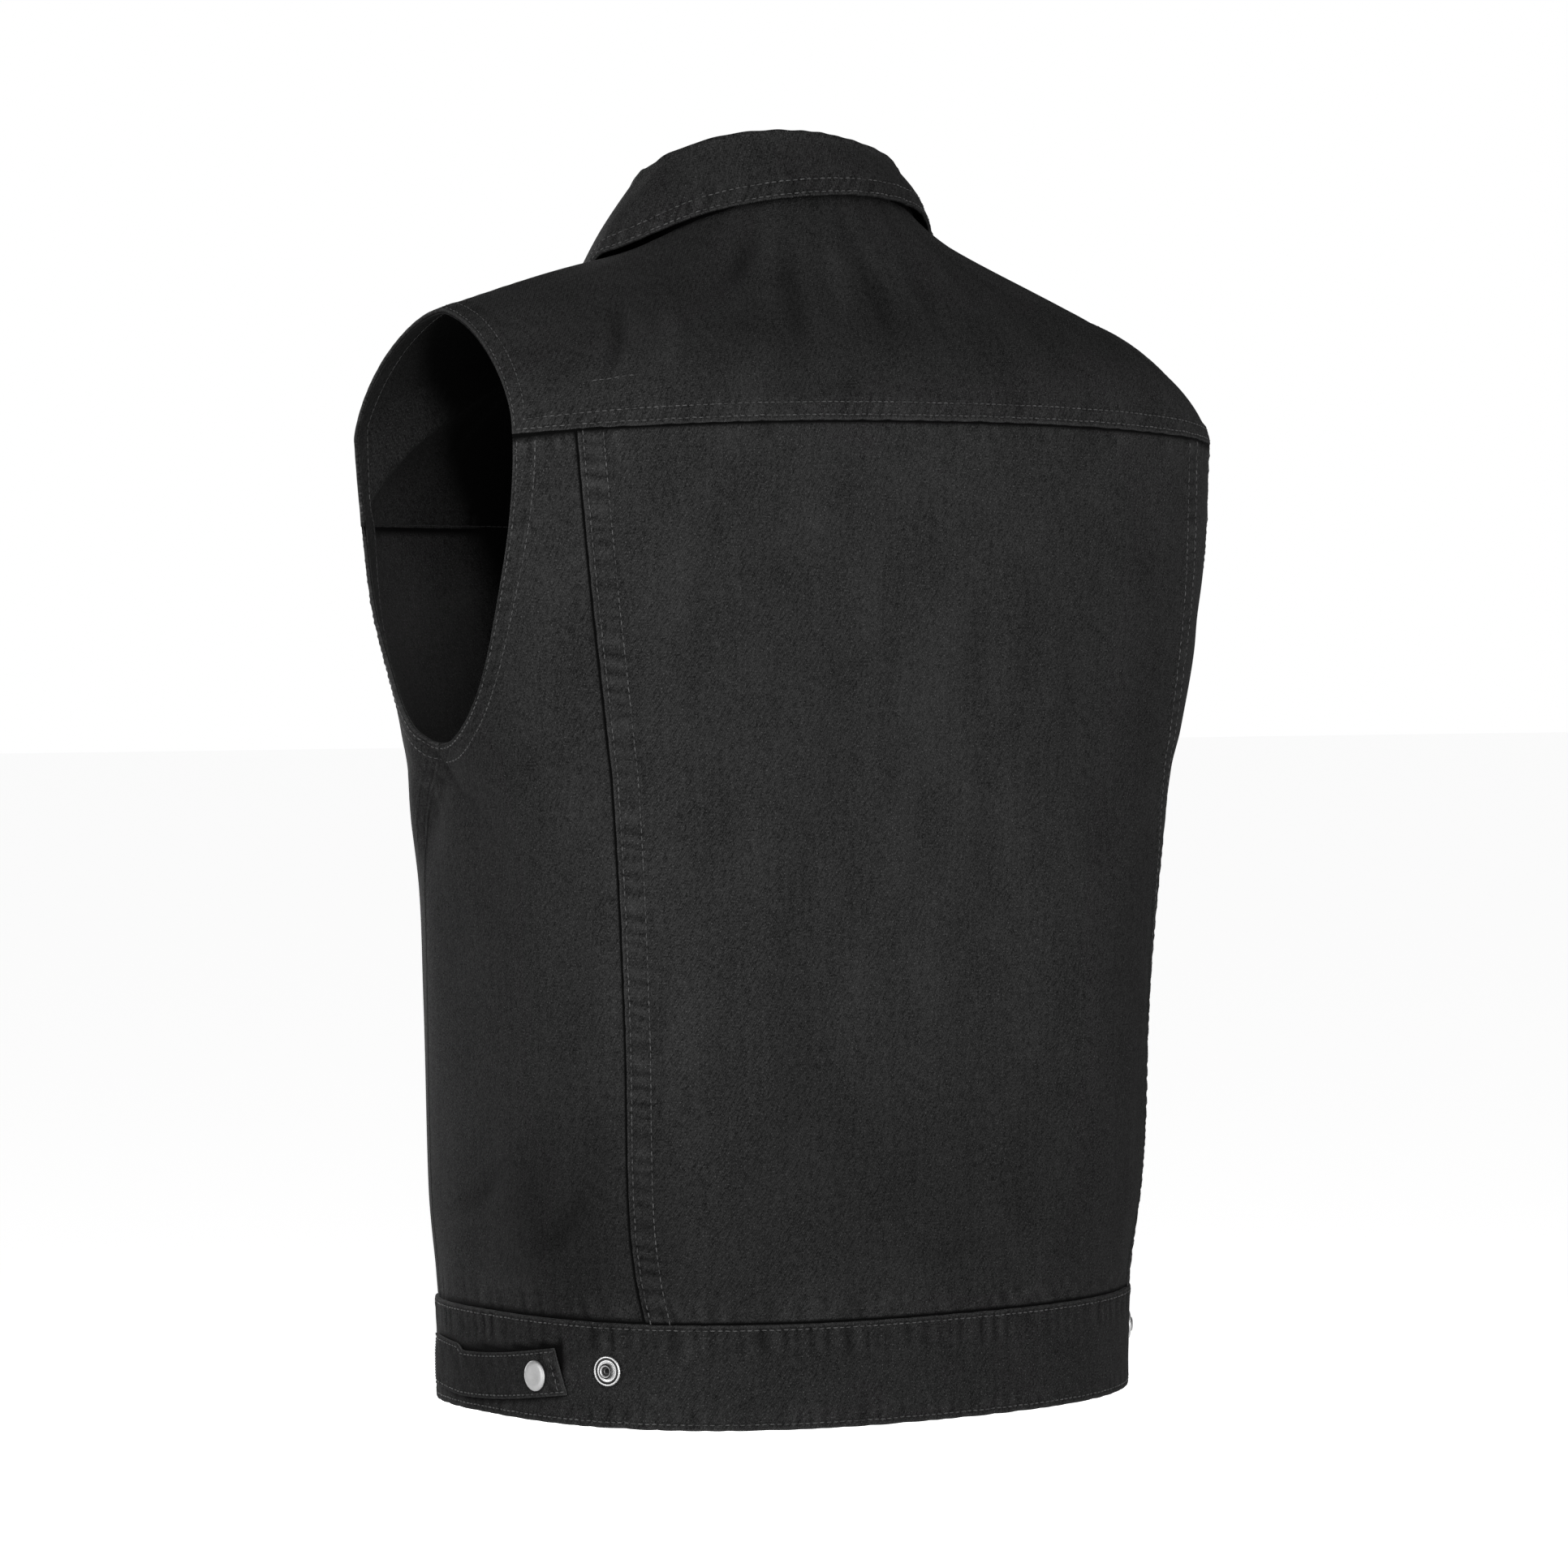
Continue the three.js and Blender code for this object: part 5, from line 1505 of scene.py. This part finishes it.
def facing_piece(hand):
    rise = np.linspace(UNDERARM_SHARE, 1, 62)
    over = np.linspace(CORNER_SHARE, 1, 42)
    front_over = (over - FRONT_START) / (1 - FRONT_START)
    strips = [
        facing_strip(back_side(hand), rise[1:], True),
        facing_strip(back_yoke, (1 - hand * over) / 2, False),
        facing_strip(front_yoke(hand), front_over[::-1][1:], False),
        facing_strip(front_panel(hand), rise[::-1], True),
    ]
    points, out = (np.concatenate(parts) for parts in zip(*strips))
    seams = [Seam("b1", (FACING_ROW,), puckers=0.2, reach=8, seed=4 + hand)]
    lift = -(CLOTH + FACING_AWAY)
    return Piece(points, FACING_THICKNESS, seams=seams, creases=CREASES, lift=lift, out=out, ring=True)


for side, hand in SIDES:
    add_cloth("armhole_facing_" + side, facing_piece(hand))

# Collar
COLLAR_ROWS = (2.0, 9.0)
COLLAR_END_ROW = 2.2
COLLAR_FOOT_ROW = 3.0
COLLAR_STOPS = (0, 0.12, 0.35, 0.8, 1.4, 2.0, 2.6, 3.6, 5.2, 7.0, 8.2, 9.0, 9.8, 11.0, 13.0)
collar_end = math.pi - math.asin(COLLAR_END_GAP / NECK_HALF_WIDTH)
collar_t = stations(560, 290)[0]
collar_side = np.where(collar_t > 0.5, -1, 1)
collar_points = collar_sections(np.abs(1 - 2 * collar_t) * collar_end, collar_end, collar_side)
collar_points[..., 0] *= collar_side[:, None]
grid = spline_rows(collar_points, stations(105, 34, EDGE_STOPS, COLLAR_STOPS)[0])
collar_out = unit(np.cross(np.gradient(grid, axis=1), np.gradient(grid, axis=0)))
seams = [
    Seam("b1", COLLAR_ROWS, lap=0.3, puckers=0.4, reach=15, seed=6.6, sway=0.4, width=10.5, rim=0.6),
    Seam("a0", (COLLAR_END_ROW,), lap=0.25, puckers=0.2, reach=8, seed=1.6, width=4),
    Seam("a1", (COLLAR_END_ROW,), lap=0.25, puckers=0.2, reach=8, seed=2.6, width=4),
    Seam("b0", (COLLAR_FOOT_ROW,), puckers=0.2, reach=8, seed=3.6),
]
piece = Piece(grid, COLLAR_THICKNESS, seams=seams, lift=COLLAR_THICKNESS / 2, out=collar_out, undulate=0.8)
add_cloth("collar", piece, groove=0.5)

# Adjuster tabs
TAB_ROWS = {"b0": 1.9, "b1": 1.9, "a0": 4.2}
TAB_STOPS = (0, 0.12, 0.35, 0.8, 1.4, 1.9, 2.4, 3.2)
TAB_TOP = BAND_PROUD + TAB_LIFT + TAB_THICKNESS
tab_across = stations(112, 44, TAB_STOPS, EDGE_STOPS)[0]
tab_up = stations(24, 6, TAB_STOPS, TAB_STOPS)[0]
for side, hand in SIDES:
    seams = [Seam(edge, (TAB_ROWS[edge],), puckers=0.46, reach=9, seed=seed + hand, width=3, rim=rim)
             for edge, seed, rim in (("b0", 1.1, 0.5), ("b1", 2.4, 1.4), ("a0", 3.8, 1.2))]
    tab_creases = crease_lines(
        on_surface(tab(hand)),
        (0.72, 0.2, 0.7, 0.5, 0.74, 0.85, 3.2, -0.6),
        (0.52, 0.15, 0.5, 0.5, 0.52, 0.8, 3.6, -0.5),
        (0.88, 0.25, 0.86, 0.55, 0.88, 0.9, 3, -0.5),
        (0.34, 0.2, 0.33, 0.6, 0.35, 0.9, 4, -0.4),
    )
    grid = on_grid(tab(hand), tab_across, tab_up)
    piece = Piece(grid, TAB_THICKNESS, seams=seams, creases=tab_creases, lift=TAB_TOP, undulate=0.5)
    add_cloth("adjuster_tab_" + side, piece, material=SHADED_BAND_DENIM, groove=0.3)

# Rows of stitches
INSIDE_ROW = 1.6
STRAY_AWAY = 30
STRAY_PART = (0.205, 0.245)
LEAF_PART = (0.45, 1)
TACK_ROWS = tuple(1.0 + 0.55 * k for k in range(5))
NEIGHBOURS = 4


def under_armhole(hand, away, start, stop):
    """A line on the body that runs one distance outside the armhole's lower half."""
    t = np.linspace(start, stop, 90)
    y, z = armhole_yz(t)
    along = unit(np.stack([np.gradient(y), np.gradient(z)], -1))
    outward = np.stack([along[:, 1], -along[:, 0]], -1)
    from_middle = np.stack([y - ARMHOLE_Y, z - ARMHOLE_HEIGHT], -1)
    outward = outward * np.sign((outward * from_middle).sum(-1))[:, None]
    y = y + away * outward[:, 0]
    z = z + away * outward[:, 1]
    return body_point(hand * turn_at(y, z), z)


def settled(line, piece):
    """A line moved onto a piece's outer face, with the normals there."""
    tree = KDTree(piece.points.size // 3)
    for index, point in enumerate(piece.points.reshape(-1, 3)):
        tree.insert(point, index)
    tree.balance()
    pushes = (piece.outer - piece.points).reshape(-1, 3)
    ways = piece.out.reshape(-1, 3)
    places, normals = [], []
    for point in line:
        found = tree.find_n(point, NEIGHBOURS)
        weights = np.array([1 / (gap + 0.1) for _, _, gap in found])
        weights /= weights.sum()
        indices = [index for _, index, _ in found]
        places.append(point + weights @ pushes[indices])
        normals.append(weights @ ways[indices])
    return np.array(places), unit(np.array(normals))


def edge_rows(piece, edges, rows, part=(0, 1)):
    """Lines at the same distances from each of a piece's edges."""
    return [piece.row(edge, away, part) for edge in edges for away in rows]


princess_lines = edge_rows(made["back_centre"], ("a0", "a1"), PRINCESS_ROWS)
add_stitches("stitch_princess", princess_lines, THREAD_BLACK)
yoke = made["back_yoke"]
yoke_lines = edge_rows(yoke, ("b0",), YOKE_ROWS, BACK_SEAM_PART)
yoke_lines.append(yoke.row("b0", STRAY_AWAY, STRAY_PART))
add_stitches("stitch_back_yoke", yoke_lines, THREAD_BLACK)
for side, hand in SIDES:
    front = made["front_yoke_" + side]
    corner = part_of_edge(front.points, FRONT_COLUMNS, FRONT_CORNER, 1)[0]
    front_lines = edge_rows(front, ("b0",), YOKE_ROWS, (0, corner))
    add_stitches("stitch_front_yoke_" + side, front_lines, THREAD_BLACK)
    inside_line = front.row("b0", INSIDE_ROW, (0, corner), "inner")
    add_stitches("stitch_inside_" + side, [inside_line], SHADED_THREAD_INNER)
    armhole_lines = [made["armhole_facing_" + side].row("b1", FACING_ROW, face="inner")]
    for away in ARMHOLE_ROWS:
        armhole_lines += [
            yoke.row("b0", away, BACK_ENDS[side]),
            front.row("b0", away, (corner, 1)),
            settled(under_armhole(hand, away, 0, 0.25), made["back_side_" + side]),
            settled(under_armhole(hand, away, 1, 1 - CORNER), made["front_panel_" + side]),
        ]
    add_stitches("stitch_armhole_" + side, armhole_lines, THREAD_BLACK)
    placket_lines = edge_rows(made["placket_" + side], ("a0", "a1"), (PLACKET_ROW,))
    add_stitches("stitch_placket_" + side, placket_lines, THREAD_BLACK)
    tab_piece = made["adjuster_tab_" + side]
    tab_lines = [tab_piece.row(edge, TAB_ROWS[edge], part)
                 for edge, part in (("b0", (0, 1)), ("b1", (0, 1)), ("a0", (0.08, 0.92)))]
    add_stitches("stitch_tab_" + side, tab_lines, THREAD_BLACK)
    tack_lines = edge_rows(tab_piece, ("a1",), TACK_ROWS, (0.05, 0.95))
    add_stitches("tack_tab_" + side, tack_lines, THREAD_BLACK, pitch=1.5, length=1.4, thread=0.34)
band_lines = [made["waistband_" + name].row(edge, away)
              for name in ("back", "front_left", "front_right") for edge, away in BAND_ROWS.items()]
add_stitches("stitch_band", band_lines, THREAD_BLACK)
collar = made["collar"]
collar_lines = edge_rows(collar, ("b1",), COLLAR_ROWS)
collar_lines += edge_rows(collar, ("a0", "a1"), (COLLAR_END_ROW,), LEAF_PART)
collar_lines += edge_rows(collar, ("b0",), (COLLAR_FOOT_ROW,))
add_stitches("stitch_collar", collar_lines, THREAD_BLACK)

# Snaps
TURN_STEPS = 72
CAP_OUTLINE = [
    (0, 0), (6.6, 0), (7.2, 0.1), (7.7, 0.45), (7.9, 0.9), (7.85, 1.3), (7.55, 1.65), (6.9, 1.95),
    (6.2, 2.14), (5.2, 2.22), (4, 2.18), (2.5, 2.08), (1.2, 2.02), (0, 2.0),
]
STUD_OUTLINE = [
    (0, 0), (6.6, 0), (7.3, 0.1), (7.8, 0.5), (7.9, 1.0), (7.85, 1.4), (7.5, 1.75), (7.1, 1.86),
    (6.8, 1.8), (6.5, 1.5), (6.1, 1.35), (5.6, 1.5), (5.2, 1.62), (4.8, 1.5), (4.5, 1.25), (4.2, 1.4),
    (4.0, 2.2), (3.85, 2.9), (3.6, 3.25), (3.2, 3.38), (2.8, 3.3), (2.45, 3.0), (2.2, 2.4), (2.0, 1.5),
    (1.8, 1.1), (1.1, 0.95), (0, 0.95),
]
STUD_RINGS = table("radius half_width", (6.1, 0.6), (3.4, 0.45), (0, 2.1))  # where it is dark
KNURLS = 36
KNURL_DEPTH = 0.22


def turned(outline, point, normal, knurled):
    """An outline of (radius, height) turned round a normal, closed at both ends."""
    profile = np.array(outline)
    radii, heights = profile[1:-1].T
    angles = 2 * np.pi * np.arange(TURN_STEPS) / TURN_STEPS
    side = unit(np.cross(normal, [0, 0, 1]))
    other = np.cross(normal, side)
    radius = radii[:, None] * np.ones(TURN_STEPS)
    if knurled:
        rim = smooth(radii, 6.9, 7.4)[:, None]
        radius = radius - rim * KNURL_DEPTH * (0.5 + 0.5 * np.cos(KNURLS * angles))[None, :]
    away = np.cos(angles)[None, :, None] * side + np.sin(angles)[None, :, None] * other
    ring = point + heights[:, None, None] * normal + radius[..., None] * away
    ends = [point + profile[end, 1] * normal for end in (0, -1)]
    rows = len(radii)
    i, j = index_pairs(rows - 1, TURN_STEPS)
    k = (j + 1) % TURN_STEPS
    low = i * TURN_STEPS
    high = low + TURN_STEPS
    quads = [np.stack([low + j, low + k, high + k, high + j], 1)]
    j = np.arange(0, TURN_STEPS, 2)
    k = (j + 1) % TURN_STEPS
    after = (j + 2) % TURN_STEPS
    bottom = rows * TURN_STEPS
    lid = bottom - TURN_STEPS
    quads.append(np.stack([0 * j + bottom, after, k, j], 1))
    quads.append(np.stack([0 * j + bottom + 1, lid + j, lid + k, lid + after], 1))
    return np.concatenate([ring.reshape(-1, 3), ends]), np.concatenate(quads)


def add_snap(name, outline, point, normal, material, knurled=False):
    vertices, quads = turned(outline, point, normal, knurled)
    vertices = to_metres(vertices)
    radii = np.array(outline)[1:-1, 0]
    # Darker rings and a darker centre on the stud.
    dark = np.zeros(len(radii))
    if knurled:
        for radius, half_width in zip(*STUD_RINGS.values()):
            dark = np.maximum(dark, 1 - smooth(np.abs(radii - radius), half_width * 0.7, half_width * 1.3))
    ring_dark = np.append(np.repeat(dark, TURN_STEPS), [dark[0], dark[-1]])
    obj = make_object("metal_" + name, vertices, turned_out(vertices, quads), material, ring_dark)
    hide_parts(name)


CAP_SEAT = 0.1


def seat_on_body(degrees, height, away):
    """Where a snap sits over the body, and the way that it faces."""
    turn = math.radians(degrees)
    point = body_point(turn, height)
    ahead = body_point(turn + 0.05, height) - body_point(turn - 0.05, height)
    above = body_point(turn, height + 5) - body_point(turn, height - 5)
    normal = unit(np.cross(ahead, above))
    normal = normal * np.sign(np.dot(normal, point * np.array([1, 1, 0])))
    return point + normal * (away + CAP_SEAT), normal


for side, hand in SIDES:
    flip = np.array([hand, 1, 1])
    seat, way = seat_on_body(TAB_CAP_TURN, TAB_CAP_HEIGHT, TAB_TOP)
    add_snap("tab_cap_" + side, CAP_OUTLINE, seat * flip, way * flip, METAL)
    seat, way = seat_on_body(STUD_TURN, STUD_HEIGHT, BAND_PROUD)
    add_snap("band_stud_" + side, STUD_OUTLINE, seat * flip, way * flip, STUD_METAL, knurled=True)

FRONT_CAP_HEIGHTS = (114, 209, 304, 399, 494)
placket_line = placket(np.full(400, 0.5), np.linspace(0, 1, 400))
placket_ways = unit(np.cross(np.gradient(placket_line, axis=0), [1.0, 0, 0]))
placket_ways = placket_ways * np.where(placket_ways[:, 1:2] > 0, -1, 1)
for index, height in enumerate(FRONT_CAP_HEIGHTS):
    k = int(np.searchsorted(placket_line[:, 2], height))
    seat = placket_line[k] + placket_ways[k] * CAP_SEAT
    add_snap("front_cap_" + str(index + 1), CAP_OUTLINE, seat, placket_ways[k], METAL)
seat = body_point(np.pi, BAND_HEIGHT / 2) - np.array([0, BAND_PROUD + CAP_SEAT, 0])
add_snap("front_cap_6", CAP_OUTLINE, seat, np.array([0, -1.0, 0]), METAL)

# Floor, light and camera
FLOOR_Z = -0.98
FLOOR_GLOW = 0.8
pale = Material("floor_pale")
pale.fill(pale.shader, {
    "Base Color": grey(0.8),
    "Emission Color": grey(1),
    "Emission Strength": FLOOR_GLOW,
    "Roughness": 0.9,
    "Specular IOR Level": 0.1,
})
bpy.ops.mesh.primitive_plane_add(size=60, location=(0, 0, FLOOR_Z))
floor = bpy.context.object
floor.name = "floor"
floor.visible_diffuse = False  # it looks white, and throws no light up into the hollow vest
floor.data.materials.append(pale.material)

# The room is white to look at, and lights the cloth softly from all round.
ROOM_LIGHT = 0.2
world = bpy.data.worlds.new("studio")
bpy.context.scene.world = world
world.use_nodes = True
room = world.node_tree
backdrop = room.nodes["Background"]
backdrop.inputs["Strength"].default_value = ROOM_LIGHT
white = room.nodes.new("ShaderNodeBackground")
path = room.nodes.new("ShaderNodeLightPath")
choice = room.nodes.new("ShaderNodeMixShader")
backdrop.inputs["Color"].default_value = (1, 1, 1, 1)
white.inputs["Color"].default_value = (1, 1, 1, 1)
room.links.new(path.outputs["Is Camera Ray"], choice.inputs[0])
room.links.new(backdrop.outputs[0], choice.inputs[1])
room.links.new(white.outputs[0], choice.inputs[2])
room.links.new(choice.outputs[0], room.nodes["World Output"].inputs["Surface"])


VEST_MIDDLE = -0.27


def aim_at(thing, height):
    """Turns a lamp or the camera to a place on the vest's upright middle line."""
    way = Vector((0, 0, height)) - thing.location
    thing.rotation_euler = way.to_track_quat("-Z", "Y").to_euler()


def area_light(name, turn, distance, height, size, power):
    """A soft lamp at a turn from the centre back, aimed at the vest's middle."""
    data = bpy.data.lights.new(name, "AREA")
    data.size = size
    data.energy = power
    light = bpy.data.objects.new(name, data)
    bpy.context.scene.collection.objects.link(light)
    angle = math.radians(turn)
    light.location = (distance * math.sin(angle), distance * math.cos(angle), height)
    aim_at(light, VEST_MIDDLE)


area_light("key", 22, 2.9, -0.3, 1.5, 80)
area_light("left", 92, 2.9, -0.15, 1.5, 58)
area_light("right", -62, 3.0, -0.1, 1.5, 30)
area_light("front", 182, 3.2, 0.1, 2.0, 100)
area_light("above", 60, 2.2, 1.9, 1.6, 16)
area_light("high", 25, 2.9, 1.1, 1.1, 44)

CAMERA_DISTANCE = 3.606
CAMERA_WAY = (0.559, 0.829)
CAMERA_HEIGHT = 0.417
AIM_HEIGHT = 0.322
camera_data = bpy.data.cameras.new("camera")
camera_data.sensor_width = 36
camera_data.lens = 155.9
camera = bpy.data.objects.new("camera", camera_data)
bpy.context.scene.collection.objects.link(camera)
camera.location = (CAMERA_WAY[0] * CAMERA_DISTANCE, CAMERA_WAY[1] * CAMERA_DISTANCE,
                   CAMERA_HEIGHT - HELD_HEIGHT / 1000)
aim_at(camera, AIM_HEIGHT - HELD_HEIGHT / 1000)
bpy.context.scene.camera = camera
bpy.context.scene.view_settings.view_transform = "Standard"
bpy.context.scene.view_settings.look = "None"
